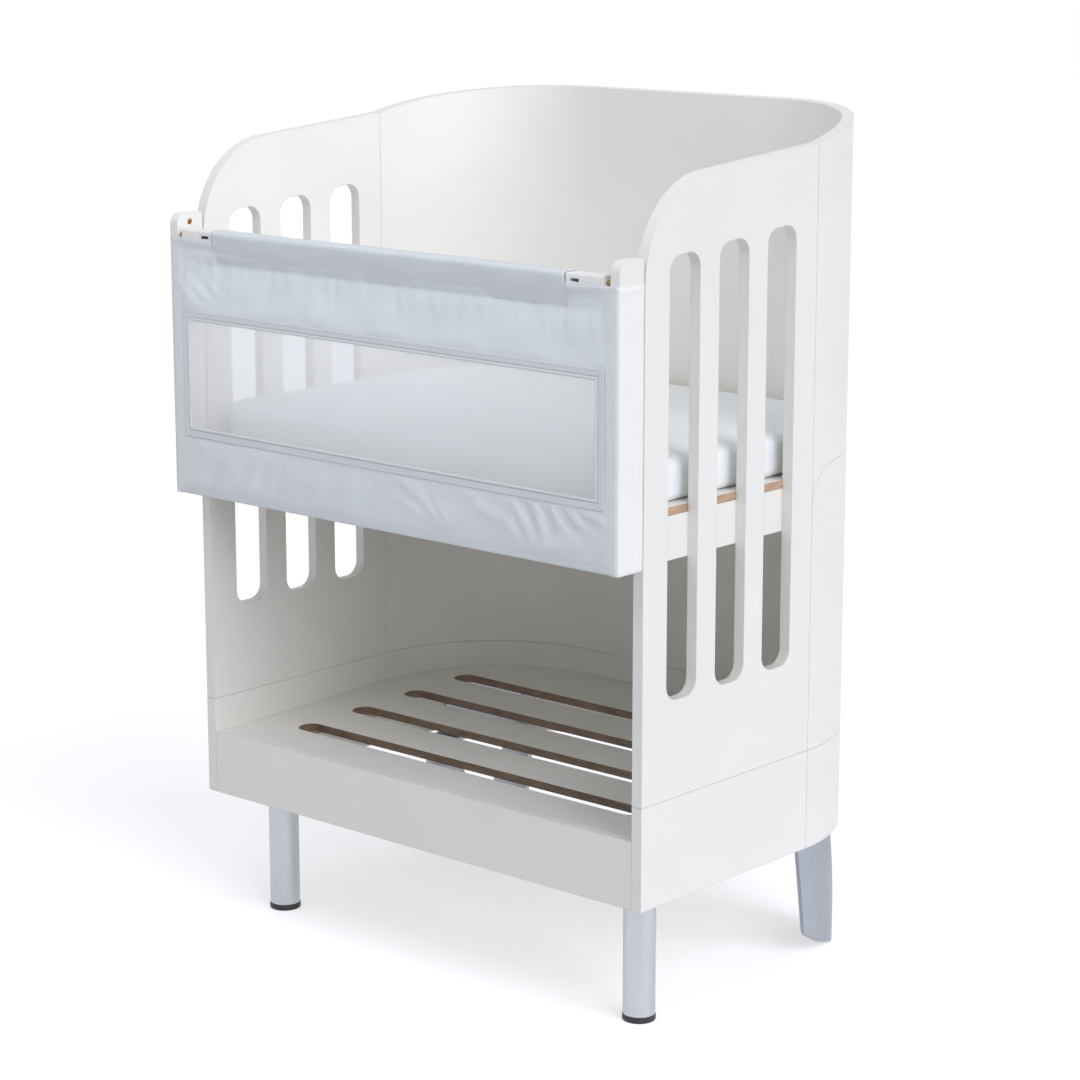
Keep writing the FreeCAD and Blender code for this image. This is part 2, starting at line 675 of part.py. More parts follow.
# ====================================================================== guard
def stud_places():
    x = (POST_IN_X + POST_OUT_X) / 2
    return [Vec(sign * x, 0, z) for z in (STUD_LOW_Z, STUD_HIGH_Z) for _, sign in SIDES]


def stud_bores():
    return Part.makeCompound([rod(STUD_SHANK_R + DOWEL_FIT, place, Vec(0, 1, 0), STUD_SHANK_LEN + 1)
                              for place in stud_places()])


def guide_studs():
    """T-headed studs in the side panels' front edges that the guard runs on."""
    studs = []
    back = Vec(0, 1, 0)
    stem = GUARD_GAP + CHANNEL_WALL + SLIDE_FIT
    for place in stud_places():
        shank = rod(STUD_SHANK_R, place, back, STUD_SHANK_LEN)
        neck = rod(STUD_STEM_R, place - back * stem, back, stem)
        head = rod(STUD_HEAD_R, place - back * (stem + STUD_HEAD_T), back, STUD_HEAD_T)
        studs.append(shank.fuse(neck).fuse(head).removeSplitter())
    return Part.makeCompound(studs)


def channel_range():
    """Foot and top of the slide channel in a post."""
    top = STUD_HIGH_Z + DROP + STUD_HEAD_R + SLIDE_FIT
    return POST_FOOT_Z, top


def channel_block(grow=0.0):
    """Space of the slide channel in the right post."""
    x = (POST_IN_X + POST_OUT_X) / 2
    z0, z1 = channel_range()
    half = CHANNEL_W / 2 + grow
    return box(x - half, x + half, -GUARD_GAP - CHANNEL_D - grow, -GUARD_GAP, z0 - grow, z1 + 1 + grow)


def guide_channel():
    """Aluminium C channel let into the right post's back."""
    x = (POST_IN_X + POST_OUT_X) / 2
    z0, z1 = channel_range()
    wall = CHANNEL_WALL
    half = CHANNEL_W / 2 - wall
    front = -GUARD_GAP - CHANNEL_D + wall
    hollow = box(x - half, x + half, front, -GUARD_GAP - wall, z0 - 1, z1)
    mouth = box(x - STUD_STEM_R - SLIDE_FIT, x + STUD_STEM_R + SLIDE_FIT, front, 1, z0 - 1, z1)
    return channel_block().cut(hollow).cut(mouth)


def guard_post():
    """Right post, with its channel, the rail pin's hole and an open bore."""
    post = side_profile([(-GUARD_GAP, POST_FOOT_Z, 0), (POST_FRONT_Y, POST_FOOT_Z, 0),
                         (POST_FRONT_Y, POST_TOP_Z, POST_NOSE_R), (-GUARD_GAP, POST_TOP_Z, 5.0)],
                        POST_IN_X, POST_OUT_X)
    post = post.cut(channel_block(0.0))
    outward = Vec(1, 0, 0)
    post = post.cut(rod(PIN_R + FIT, Vec(POST_IN_X - 1, PIN_Y, PIN_Z), outward, PIN_BITE + 2))
    post = post.cut(rod(BORE_R, Vec(POST_IN_X - 1, BORE_Y, BORE_Z), outward, BORE_DEPTH + 1))
    return post.cut(hem_dowels(DOWEL_FIT))


def post_cover():
    """Cloth cover round the front, the outside and the inside of the right post."""
    outer = box(COVER_IN_X, HALF_W, CLOTH_Y, -GUARD_GAP, GUARD_BOTTOM_Z, COVER_TOP_Z)
    hollow = box(POST_IN_X, POST_OUT_X, POST_FRONT_Y, 0, GUARD_BOTTOM_Z - 1, COVER_TOP_Z + 1)
    return outer.cut(hollow).cut(hem_dowels(DOWEL_FIT))


def top_rail():
    """Aluminium tube inside the cloth sleeve."""
    x = FITTING_IN_X
    y0 = CLOTH_Y + (FITTING_D - RAIL_TUBE_D) / 2
    z0 = RAIL_TOP_Z - (FITTING_H + RAIL_TUBE_H) / 2
    wall = RAIL_TUBE_WALL
    tube = box(-x, x, y0, y0 + RAIL_TUBE_D, z0, z0 + RAIL_TUBE_H)
    return tube.cut(box(-x, x, y0 + wall, y0 + RAIL_TUBE_D - wall, z0 + wall, z0 + RAIL_TUBE_H - wall))


def rail_fitting():
    """White end fitting of the top rail: a block with a spigot up the tube."""
    y0 = CLOTH_Y
    y1 = CLOTH_Y + FITTING_D
    z0 = RAIL_TOP_Z - FITTING_H
    block = swept([(Vec(FITTING_IN_X, y, z), 3.0) for y, z in ((y0, z0), (y1, z0), (y1, RAIL_TOP_Z),
                                                               (y0, RAIL_TOP_Z))],
                  Vec(FITTING_OUT_X - FITTING_IN_X, 0, 0))
    side = (FITTING_D - RAIL_TUBE_D) / 2 + RAIL_TUBE_WALL + FIT
    lift = (FITTING_H - RAIL_TUBE_H) / 2 + RAIL_TUBE_WALL + FIT
    spigot = box(FITTING_IN_X - SPIGOT_LEN, FITTING_IN_X, y0 + side, y1 - side, z0 + lift, RAIL_TOP_Z - lift)
    inner_end = PIN_INNER_X - PIN_STROKE - SLIDE_FIT
    bore = rod(PIN_R + FIT, Vec(inner_end, PIN_Y, PIN_Z), Vec(1, 0, 0), FITTING_OUT_X - inner_end)
    slot_in = KNOB_X - KNOB_LEN / 2 - PIN_STROKE - SLIDE_FIT
    slot_out = KNOB_X + KNOB_LEN / 2 + SLIDE_FIT
    half = KNOB_H / 2 + SLIDE_FIT
    slot = box(slot_in, slot_out, y0 - 1, PIN_Y, PIN_Z - half, PIN_Z + half)
    return block.fuse(spigot).cut(bore).cut(slot)


def rail_pin():
    """Brass pin that holds the right end of the top rail in its post."""
    length = POST_IN_X + PIN_BITE - PIN_INNER_X
    pin = rod(PIN_R, Vec(PIN_INNER_X, PIN_Y, PIN_Z), Vec(1, 0, 0), length)
    ends = [edge for edge in pin.Edges if edge.Closed and edge.Length > 1]
    return pin.makeChamfer(0.6, ends)


def pin_knob():
    """Dark thumb knob on the pin, in the fitting's slot."""
    half = KNOB_LEN / 2
    front = CLOTH_Y - KNOB_PROUD
    seat = PIN_Y - PIN_R
    corners = [(Vec(KNOB_X + sx * half, front, PIN_Z + sz * KNOB_H / 2), 1.2)
               for sx, sz in ((-1, -1), (1, -1), (1, 1), (-1, 1))]
    return swept(corners, Vec(0, seat - front, 0)).cut(
        rod(PIN_R, Vec(KNOB_X - half - 1, PIN_Y, PIN_Z), Vec(1, 0, 0), KNOB_LEN + 2))


def hem_rail_box():
    """Y and Z limits of the rail in the bottom hem."""
    y0 = CLOTH_Y + CLOTH_T + SOFT_GAP
    z0 = GUARD_BOTTOM_Z + CLOTH_T + SOFT_GAP
    return y0, y0 + HEM_RAIL_D, z0, z0 + HEM_RAIL_H


def bottom_rail():
    """Aluminium tube inside the bottom hem."""
    y0, y1, z0, z1 = hem_rail_box()
    x = COVER_IN_X
    wall = RAIL_TUBE_WALL
    tube = box(-x, x, y0, y1, z0, z1)
    inner = box(-x, x, y0 + wall, y1 - wall, z0 + wall, z1 - wall)
    return tube.cut(inner)


def hem_dowels(grow=0.0):
    """Dowel blocks from the bottom rail's ends into the posts."""
    y0, y1, z0, z1 = hem_rail_box()
    wall = RAIL_TUBE_WALL
    y = (y0 + y1) / 2
    z = (z0 + z1) / 2
    radius = (HEM_RAIL_H - 2 * wall) / 2 - FIT + grow
    start = COVER_IN_X - 26 - grow
    length = 26 + COVER_T + 9 + 2 * grow
    return Part.makeCompound([rod(radius, Vec(sign * start, y, z), Vec(sign, 0, 0), length)
                              for _, sign in SIDES])


def cloth_section(x0, x1, points, thickness):
    """Cloth that follows (y, z) points across the guard, thickened backwards and up."""
    front = [Vec(x0, y, z) for y, z in points]
    back = [Vec(x0, y + thickness, z) for y, z in reversed(points)]
    loop = front + back
    return Part.Face(Part.makePolygon(loop + [loop[0]])).extrude(Vec(x1 - x0, 0, 0))


def sleeve_loop():
    """(y, z, radius) outline of the cloth sleeve round the top rail."""
    front = CLOTH_Y - 0.5
    back = CLOTH_Y + FITTING_D + 1.2
    top = RAIL_TOP_Z + 1.2
    sewn = RAIL_TOP_Z - SLEEVE_DROP
    return [(SLEEVE_BACK_Y, sewn, 0), (front, RAIL_TOP_Z - FITTING_H + 1, 18.0), (front, top, 7.0),
            (back, top, 7.0), (back, RAIL_TOP_Z - FITTING_H + 1, 18.0),
            (SLEEVE_BACK_Y + 2 * CLOTH_T, sewn, 0)]


def shrunk_sleeve():
    """The sleeve's inner face."""
    t = CLOTH_T
    (y0, z0, _), (fy, fz, _), (_, tz, _), (by, _, _), _, (y1, _, _) = sleeve_loop()
    middle = (y0 + y1) / 2
    return [(middle, z0 + 6, 0), (fy + t, fz, 9.0), (fy + t, tz - t, 5.8),
            (by - t, tz - t, 5.8), (by - t, fz, 9.0)]


def guard_fabric():
    """Front cloth: hem, flat field with the window, crease, and the rail's sleeve."""
    x = COVER_IN_X
    sewn = RAIL_TOP_Z - SLEEVE_DROP
    flat_top = sewn - DRAWN_H
    field = cloth_section(-x, x, [(CLOTH_Y, GUARD_BOTTOM_Z), (CLOTH_Y, flat_top)], CLOTH_T)
    drawn = cloth_section(-FITTING_IN_X, FITTING_IN_X,
                          [(CLOTH_Y, flat_top), (CLOTH_Y + 2.4, sewn - 16), (SLEEVE_BACK_Y, sewn + 0.5)],
                          2 * CLOTH_T)
    cheeks = [box(sign * FITTING_IN_X, sign * x, CLOTH_Y, CLOTH_Y + CLOTH_T, flat_top,
                  RAIL_TOP_Z - FITTING_H - SOFT_GAP) for _, sign in SIDES]
    y0, y1, z0, z1 = hem_rail_box()
    hem_back = y1 + SOFT_GAP
    hem = box(-x, x, CLOTH_Y, hem_back + CLOTH_T, GUARD_BOTTOM_Z, GUARD_BOTTOM_Z + CLOTH_T)
    hem = hem.fuse(box(-x, x, hem_back, hem_back + CLOTH_T, GUARD_BOTTOM_Z, GUARD_BOTTOM_Z + HEM_BACK_H))
    sleeve = side_profile(sleeve_loop(), -FITTING_IN_X, FITTING_IN_X)
    sleeve = sleeve.cut(side_profile(shrunk_sleeve(), -FITTING_IN_X - 1, FITTING_IN_X + 1))
    cloth = field.fuse([drawn, hem, sleeve] + cheeks)
    return cloth.cut(window_solid(0, CLOTH_Y - 5, CLOTH_Y + 5)).removeSplitter()


def window_solid(grow, y0, y1):
    """Rounded window opening, grown outwards, between two Y values."""
    x = WINDOW_HALF_W + grow
    z0 = WINDOW_BOTTOM_Z - grow
    z1 = WINDOW_TOP_Z + grow
    radius = WINDOW_R + max(grow, 0)
    corners = [(Vec(sx * x, y0, z), radius) for sx, z in ((-1, z0), (1, z0), (1, z1), (-1, z1))]
    return swept(corners, Vec(0, y1 - y0, 0))


def window_piping():
    """Flat sewn binding round the window, on the front of the cloth."""
    y0 = CLOTH_Y - PIPING_T
    return window_solid(PIPING_W - 1.5, y0, CLOTH_Y).cut(window_solid(-1.5, y0 - 1, CLOTH_Y + 1))


def mesh_window():
    """Flat net in the window: one plate with a grid of diamond gaps."""
    margin = 4.0
    x = WINDOW_HALF_W - FIT
    z0 = WINDOW_BOTTOM_Z + FIT
    z1 = WINDOW_TOP_Z - FIT
    pitch_x = 2 * (x - margin) / NET_COLUMNS
    pitch_z = (z1 - z0 - 2 * margin) / NET_ROWS
    rim = outline([(Vec(-x, CLOTH_Y, z0), WINDOW_R), (Vec(x, CLOTH_Y, z0), WINDOW_R),
                   (Vec(x, CLOTH_Y, z1), WINDOW_R), (Vec(-x, CLOTH_Y, z1), WINDOW_R)])
    half_x = (pitch_x - NET_THREAD) / 2
    half_z = (pitch_z - NET_THREAD) / 2
    gaps = []
    for i in range(NET_COLUMNS):
        for j in range(NET_ROWS):
            cx = -x + margin + (i + 0.5) * pitch_x
            cz = z0 + margin + (j + 0.5) * pitch_z
            loop = [Vec(cx - half_x, CLOTH_Y, cz), Vec(cx, CLOTH_Y, cz - half_z),
                    Vec(cx + half_x, CLOTH_Y, cz), Vec(cx, CLOTH_Y, cz + half_z)]
            gaps.append(Part.makePolygon(loop + [loop[0]]))
    face = Part.Face([rim] + gaps)
    if not face.isValid():
        face.validate()
    return face.extrude(Vec(0, NET_T, 0))


# ===================================================================== export
def pieces():
    """Every piece of the crib by its name, in the body's frame."""
    named = {
        "shell_upper": shell_upper(),
        "back_panel_lower": back_panel_lower(),
        "plinth_back": plinth_back().cut(rear_leg_bolts(DOWEL_FIT)),
        "plinth_front": plinth_front(),
        "shelf_board": shelf_board(),
        "shelf_cleat_front": shelf_cleat_front(),
        "shelf_cleat_back": shelf_cleat_back(),
        "mattress_board": mattress_board(),
        "base_rail_front": base_rail_cross(RAIL_FRONT_Y),
        "base_rail_back": base_rail_cross(RAIL_BACK_Y),
        "base_cleat_back": base_cleat_back(),
        "base_rail_screws": base_rail_screws(),
        "seam_dowels": seam_dowels(),
        "base_dowels": base_dowels(),
        "rear_leg_bolts": rear_leg_bolts(),
        "leg_plate_screws": leg_plate_screws(),
        "mattress": mattress(),
        "guide_studs": guide_studs(),
        "top_rail": top_rail(),
        "bottom_rail": bottom_rail(),
        "hem_dowels": hem_dowels(),
        "guard_fabric": guard_fabric(),
        "window_piping": window_piping(),
        "mesh_window": mesh_window(),
    }
    paired = {
        "side_panel": side_panel().cut(rail_screw_holes()),
        "plinth": plinth_side(),
        "shelf_cleat": shelf_cleat_side(),
        "base_rail": base_rail_side().cut(rail_screw_holes()),
        "leg_board": leg_board(),
        "leg_plate": leg_plate(),
        "front_leg": front_leg(),
        "glide": glide(),
        "rear_leg": rear_leg(),
        "guard_post": guard_post(),
        "guide_channel": guide_channel(),
        "post_cover": post_cover(),
        "rail_fitting": rail_fitting(),
        "rail_pin": rail_pin(),
        "pin_knob": pin_knob(),
    }
    for name, shape in paired.items():
        for side, sign in SIDES:
            named[f"{name}_{side}"] = on_side(shape, sign)
    return named


def main():
    os.makedirs("parts", exist_ok=True)
    to_origin = Vec(0, (FRONT_REACH - DEPTH) / 2, LEG_H)
    for name, shape in sorted(pieces().items()):
        shape.translate(to_origin)
        shape.exportStep(f"parts/{name}.step")
        print(f"{name:22s} solids {len(shape.Solids)}  volume {shape.Volume / 1000:10.2f} cm3"
              f"  valid {shape.isValid()}")


main()
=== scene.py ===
# %% [markdown]
# # Bedside sleeper crib
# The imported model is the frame: every painted board, leg and rail is already there, in metres.
# This file gives each of them its finish, and makes the soft goods (mattress, guard cloth,
# rail sleeve, post covers, window binding, net) as fuller forms than a solid modeller can.

# %% Load the frame
import math

import bmesh
import bpy
import numpy as np
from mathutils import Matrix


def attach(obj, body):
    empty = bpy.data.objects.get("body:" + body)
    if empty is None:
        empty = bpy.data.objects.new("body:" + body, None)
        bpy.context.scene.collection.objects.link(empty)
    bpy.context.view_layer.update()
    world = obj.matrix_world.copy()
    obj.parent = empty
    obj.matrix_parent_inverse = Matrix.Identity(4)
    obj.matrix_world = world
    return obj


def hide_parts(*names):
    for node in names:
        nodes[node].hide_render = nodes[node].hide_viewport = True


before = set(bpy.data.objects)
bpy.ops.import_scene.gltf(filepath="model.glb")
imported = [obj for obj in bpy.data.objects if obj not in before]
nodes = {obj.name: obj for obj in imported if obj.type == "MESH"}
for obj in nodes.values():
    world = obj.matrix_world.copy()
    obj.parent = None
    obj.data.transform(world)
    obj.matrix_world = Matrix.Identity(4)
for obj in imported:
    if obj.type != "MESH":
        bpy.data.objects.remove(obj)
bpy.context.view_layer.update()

# %% [markdown]
# ## The camera
# A camera is matched to a photograph by its place, its turn and its lens. A long lens far
# away keeps upright edges nearly parallel, as they are here, so this one is 100 mm. The
# alternative, a short lens close by, would spread the legs and shrink the back.

# %% Camera
camera_data = bpy.data.cameras.new("camera")
camera_data.lens = 100.54
camera_data.sensor_width = 36.0
camera = bpy.data.objects.new("camera", camera_data)
camera.location = (2.8963, -3.2804, 1.5663)
camera.rotation_euler = (math.radians(77.586), 0.0, math.radians(41.47))
bpy.context.scene.collection.objects.link(camera)
bpy.context.scene.camera = camera
print("camera", tuple(round(v, 3) for v in camera.location), "lens", camera_data.lens)

# %% [markdown]
# ## World and lamps
# A product picture has an even pale room round it. The world gives the soft light from all
# sides, one broad sun from the right makes the end panel the brightest face, and a panel
# overhead in front makes what leans back brighter than what leans forward. The white
# background is only seen by camera, glossy and transmission rays, so it adds no light.

# %% World
world = bpy.data.worlds.new("studio")
bpy.context.scene.world = world
world.use_nodes = True
tree = world.node_tree
tree.nodes.clear()
ROOM_LIGHT = 0.405
COOL = (0.887, 0.916, 1.0)
path = tree.nodes.new("ShaderNodeLightPath")
seen = tree.nodes.new("ShaderNodeMath")
seen.operation = "MAXIMUM"
seen_too = tree.nodes.new("ShaderNodeMath")
seen_too.operation = "MAXIMUM"
tree.links.new(path.outputs["Is Camera Ray"], seen.inputs[0])
tree.links.new(path.outputs["Is Glossy Ray"], seen.inputs[1])
tree.links.new(seen.outputs[0], seen_too.inputs[0])
tree.links.new(path.outputs["Is Transmission Ray"], seen_too.inputs[1])
soft = tree.nodes.new("ShaderNodeBackground")
soft.inputs["Color"].default_value = (*COOL, 1.0)
soft.inputs["Strength"].default_value = ROOM_LIGHT
white = tree.nodes.new("ShaderNodeBackground")
white.inputs["Color"].default_value = (1.0, 1.0, 1.0, 1.0)
white.inputs["Strength"].default_value = 1.0
choose = tree.nodes.new("ShaderNodeMixShader")
tree.links.new(seen_too.outputs[0], choose.inputs[0])
tree.links.new(soft.outputs[0], choose.inputs[1])
tree.links.new(white.outputs[0], choose.inputs[2])
out = tree.nodes.new("ShaderNodeOutputWorld")
tree.links.new(choose.outputs[0], out.inputs["Surface"])
print("room light", ROOM_LIGHT)

# %% Lamps
sun_data = bpy.data.lights.new("window_light", "SUN")
sun_data.energy = 1.93
sun_data.angle = math.radians(55)
sun_data.color = COOL
sun = bpy.data.objects.new("window_light", sun_data)
sun.rotation_euler = (0.0, math.radians(62), math.radians(-6))
bpy.context.scene.collection.objects.link(sun)
panel_data = bpy.data.lights.new("ceiling_panel", "AREA")
panel_data.shape = "SQUARE"
panel_data.size = 1.6
panel_data.energy = 15.0
panel_data.color = COOL
panel = bpy.data.objects.new("ceiling_panel", panel_data)
panel.location = (0.2, -1.2, 2.6)
panel.rotation_euler = (math.atan2(1.3, 1.7), 0.0, 0.0)
bpy.context.scene.collection.objects.link(panel)
bpy.context.scene.view_settings.view_transform = "Standard"
print("sun", sun_data.energy, "W/m2, ceiling panel", panel_data.energy, "W")

# %% [markdown]
# ## Arithmetic on shader sockets
# A procedural finish is a formula over the surface. Wiring Math nodes by hand hides it, so a
# small class wraps a socket and lets Python's own + - and * add the nodes. One method makes any
# other node: its settings go in first, then the values or links it takes.

# %% Sockets as numbers
class Level:
    """One number that varies over a surface: arithmetic on it adds Math nodes."""

    def __init__(self, finish, socket):
        self.finish = finish
        self.socket = socket

    def math(self, operation, first, second=0.0):
        return self.finish.node("ShaderNodeMath", {"operation": operation}, {0: first, 1: second})

    def __add__(self, other):
        return self.math("ADD", self, other)

    def __radd__(self, other):
        return self.math("ADD", other, self)

    def __sub__(self, other):
        return self.math("SUBTRACT", self, other)

    def __mul__(self, other):
        return self.math("MULTIPLY", self, other)

    def __rmul__(self, other):
        return self.math("MULTIPLY", other, self)

    def sine(self):
        return self.math("SINE", self)

    def size(self):
        return self.math("ABSOLUTE", self)

    def largest(self, other):
        return self.math("MAXIMUM", self, other)

    def ramp(self, low, high):
        """Straight change from 0 at low to 1 at high, held level outside."""
        return self.finish.node("ShaderNodeMapRange", {"clamp": True}, {0: self, 1: low, 2: high})


print("levels ready")

# %% A finish and its nodes
class Finish:
    """A material with one Principled shader and the nodes that feed it."""

    def __init__(self, name, color, roughness, metallic=0.0, **uniform):
        self.material = bpy.data.materials.new(name)
        self.material.use_nodes = True
        self.tree = self.material.node_tree
        self.tree.nodes.clear()
        self.end = self.tree.nodes.new("ShaderNodeOutputMaterial")
        self.shader = self.tree.nodes.new("ShaderNodeBsdfPrincipled")
        self.tree.links.new(self.shader.outputs[0], self.end.inputs["Surface"])
        self.color = tuple(color)
        self.material.diffuse_color = (*self.color, 1.0)
        self.shader.inputs["Base Color"].default_value = (*self.color, 1.0)
        self.shader.inputs["Roughness"].default_value = roughness
        self.shader.inputs["Metallic"].default_value = metallic
        for socket, value in uniform.items():
            self.shader.inputs[socket.replace("_", " ")].default_value = value

    def node(self, kind, settings=None, inputs=None, output=0):
        """Any node: settings first, then values or links by socket name or number."""
        made = self.tree.nodes.new(kind)
        for name, value in (settings or {}).items():
            setattr(made, name, value)
        for name, value in (inputs or {}).items():
            if isinstance(value, Level):
                self.tree.links.new(value.socket, made.inputs[name])
            else:
                made.inputs[name].default_value = value
        return Level(self, made.outputs[output])

    def feed(self, socket, value):
        self.tree.links.new(value.socket, self.shader.inputs[socket])

    def let_through(self, share, color):
        """Thin cloth: this share of the light passes on to the other side, softly."""
        through = self.tree.nodes.new("ShaderNodeBsdfTranslucent")
        through.inputs["Color"].default_value = (*color, 1.0)
        mixed = self.tree.nodes.new("ShaderNodeMixShader")
        mixed.inputs[0].default_value = share
        self.tree.links.new(self.shader.outputs[0], mixed.inputs[1])
        self.tree.links.new(through.outputs[0], mixed.inputs[2])
        self.tree.links.new(mixed.outputs[0], self.end.inputs["Surface"])


print("finishes ready")

# %% [markdown]
# ## Places, noise and colour on a surface
# Object coordinates are metres on the object itself, so a pattern written in them has a real
# size: 1000 noise cells to the metre are one millimetre each. Cloth reads its UV map, also in
# metres, so that the weave follows the folds. The mattress is remeshed and stitches are tiny,
# so they have no UV map and use object coordinates.

# %% Places and patterns
def places(finish, source="Object"):
    """The surface's coordinates as one vector and as three numbers."""
    spot = finish.node("ShaderNodeTexCoord", output=source)
    split = finish.tree.nodes.new("ShaderNodeSeparateXYZ")
    finish.tree.links.new(spot.socket, split.inputs[0])
    return spot, [Level(finish, split.outputs[i]) for i in range(3)]


def noise(finish, spot, per_metre, stretch=(1, 1, 1), detail=3.0):
    """Cloudy noise with so many cells to the metre, stretched along the axes."""
    spread = finish.node("ShaderNodeMapping", inputs={"Vector": spot, "Scale": stretch})
    values = {"Vector": spread, "Scale": per_metre, "Detail": detail}
    return finish.node("ShaderNodeTexNoise", inputs=values)


def blend_colors(finish, share, first, second):
    """Mix of two colours, each a tuple or a link, by a share from 0 to 1."""
    made = finish.tree.nodes.new("ShaderNodeMix")
    made.data_type = "RGBA"
    finish.tree.links.new(share.socket, made.inputs[0])
    for number, tint in ((6, first), (7, second)):
        if isinstance(tint, Level):
            finish.tree.links.new(tint.socket, made.inputs[number])
        else:
            made.inputs[number].default_value = (*tint, 1.0)
    return Level(finish, made.outputs[2])


def shade(color, factor):
    return tuple(min(1.0, c * factor) for c in color)


def soften(finish, height, distance, strength=1.0, edge=0.0):
    """Relief from a height; with an edge radius, its normal also rounds sharp edges."""
    made = finish.tree.nodes.new("ShaderNodeBump")
    made.inputs["Strength"].default_value = strength
    made.inputs["Distance"].default_value = distance
    finish.tree.links.new(height.socket, made.inputs["Height"])
    if edge:
        rounded = finish.tree.nodes.new("ShaderNodeBevel")
        rounded.samples = 4
        rounded.inputs["Radius"].default_value = edge
        finish.tree.links.new(rounded.outputs[0], made.inputs["Normal"])
    finish.tree.links.new(made.outputs[0], finish.shader.inputs["Normal"])


print("patterns ready")

# %% [markdown]
# ## Painted plywood
# The shell is bent plywood under white satin paint. Spray paint has a faint orange peel, a
# little cloudiness and slightly softened edges. A plain white shader would look like plastic
# foam, so peel and cloud come from noise and the soft edge from a Bevel node.

# %% White paint
PAINT = (0.868, 0.845, 0.785)


def paint_finish(name):
    finish = Finish(name, PAINT, 0.38, Specular_IOR_Level=0.32)
    spot, _ = places(finish)
    cloud = noise(finish, spot, 5.0, detail=4.0)
    peel = noise(finish, spot, 850.0, detail=2.0)
    rubbed = noise(finish, spot, 42.0, (1, 1, 0.35), 5.0)
    tint = blend_colors(finish, cloud.ramp(0.3, 0.7), shade(PAINT, 0.975), shade(PAINT, 1.012))
    finish.feed("Base Color", tint)
    finish.feed("Roughness", 0.30 + 0.14 * rubbed)
    soften(finish, peel + 0.5 * rubbed, 0.0001, 0.35, edge=0.0016)
    return finish.material


white_paint = paint_finish("white_paint")
print("paint", PAINT)

# %% [markdown]
# ## Slotted boards
# The two slotted boards are white on their faces and bare in their slots and edges, where the
# plies show as thin brown lines. A second object could line each slot, but the boundary is
# exactly where the surface turns upright, so the shader asks for the normal instead.

# %% Board paint with bare plies
def board_finish(name, rise, dark, light):
    finish = Finish(name, PAINT, 0.42)
    spot, (_, y, z) = places(finish)
    facing = finish.node("ShaderNodeNewGeometry", output="Normal")
    split = finish.node("ShaderNodeSeparateXYZ", inputs={0: facing}, output=2)
    upright = split.size().ramp(0.75, 0.55)
    depth = z - rise * y
    plies = (depth * (2 * math.pi / 0.0030)).sine()
    grain = noise(finish, spot, 160.0, (1, 1, 6), 5.0)
    blotch = noise(finish, spot, 28.0, (1, 1, 3), 3.0)
    shares = (0.45 + 0.30 * plies + 0.9 * (grain - 0.5)).ramp(0.05, 0.95)
    raw = blend_colors(finish, shares, dark, light)
    worn = blend_colors(finish, blotch.ramp(0.35, 0.75), raw, shade(light, 1.08))
    cloud = noise(finish, spot, 6.0, detail=4.0)
    paint = blend_colors(finish, cloud.ramp(0.3, 0.7), shade(PAINT, 0.965), PAINT)
    finish.feed("Base Color", blend_colors(finish, upright, paint, worn))
    finish.feed("Roughness", 0.38 + 0.34 * upright)
    soften(finish, 0.4 * noise(finish, spot, 700.0) + 0.6 * grain * upright, 0.00015, 0.5, edge=0.0008)
    return finish.material


# The shelf's bare ply is the same plywood as the bed board's but gets far darker browns: painted shade
# for the shelf's low slots.
shelf_ply_painted_shade = board_finish("shelf_ply_painted_shade", 0.0221, (0.105, 0.070, 0.048), (0.235, 0.165, 0.115))
bed_ply = board_finish("bed_board_ply", 0.0, (0.30, 0.175, 0.105), (0.55, 0.375, 0.25))
print("board finishes", shelf_ply_painted_shade.name, bed_ply.name)

# %% [markdown]
# ## Bare battens and dowels
# The battens under the shelf are planed hardwood. Wood grain is noise pulled out along one
# direction; most battens run along X or Y, so it is long in both and fine in Z.

# %% Bare wood
def wood_finish(name, light, dark):
    finish = Finish(name, light, 0.55)
    spot, _ = places(finish)
    lines = noise(finish, spot, 60.0, (0.25, 0.25, 6.0), 6.0)
    pores = noise(finish, spot, 420.0, (0.2, 0.2, 3.0), 2.0)
    grain = (0.75 * lines + 0.25 * pores).ramp(0.35, 0.68)
    finish.feed("Base Color", blend_colors(finish, grain, dark, light))
    finish.feed("Roughness", 0.48 + 0.2 * lines)
    soften(finish, lines + pores, 0.00018, 0.5, edge=0.0008)
    return finish.material


raw_wood = wood_finish("raw_wood", (0.62, 0.47, 0.32), (0.40, 0.27, 0.16))
print("wood", raw_wood.name)

# %% [markdown]
# ## Metals
# The legs are satin anodised aluminium, cool grey with the very fine lines that drawing leaves
# along a tube. The rear castings have a finer sand-like grain. Metal takes its look from what
# it mirrors, so the shader only needs colour, roughness and that relief.

# %% Leg metal and small metal parts
def metal_finish(name, color, roughness, stretch, relief=0.00003, per_metre=900.0, edge=0.0006):
    finish = Finish(name, color, roughness, 1.0)
    spot, _ = places(finish)
    drawn = noise(finish, spot, per_metre, stretch, 2.0)
    stain = noise(finish, spot, 22.0, (1, 1, 0.4), 4.0)
    tint = blend_colors(finish, stain.ramp(0.3, 0.7), shade(color, 0.95), shade(color, 1.05))
    finish.feed("Base Color", tint)
    finish.feed("Roughness", roughness - 0.06 + 0.08 * drawn + 0.05 * stain)
    soften(finish, drawn, relief, 0.6, edge=edge)
    return finish.material


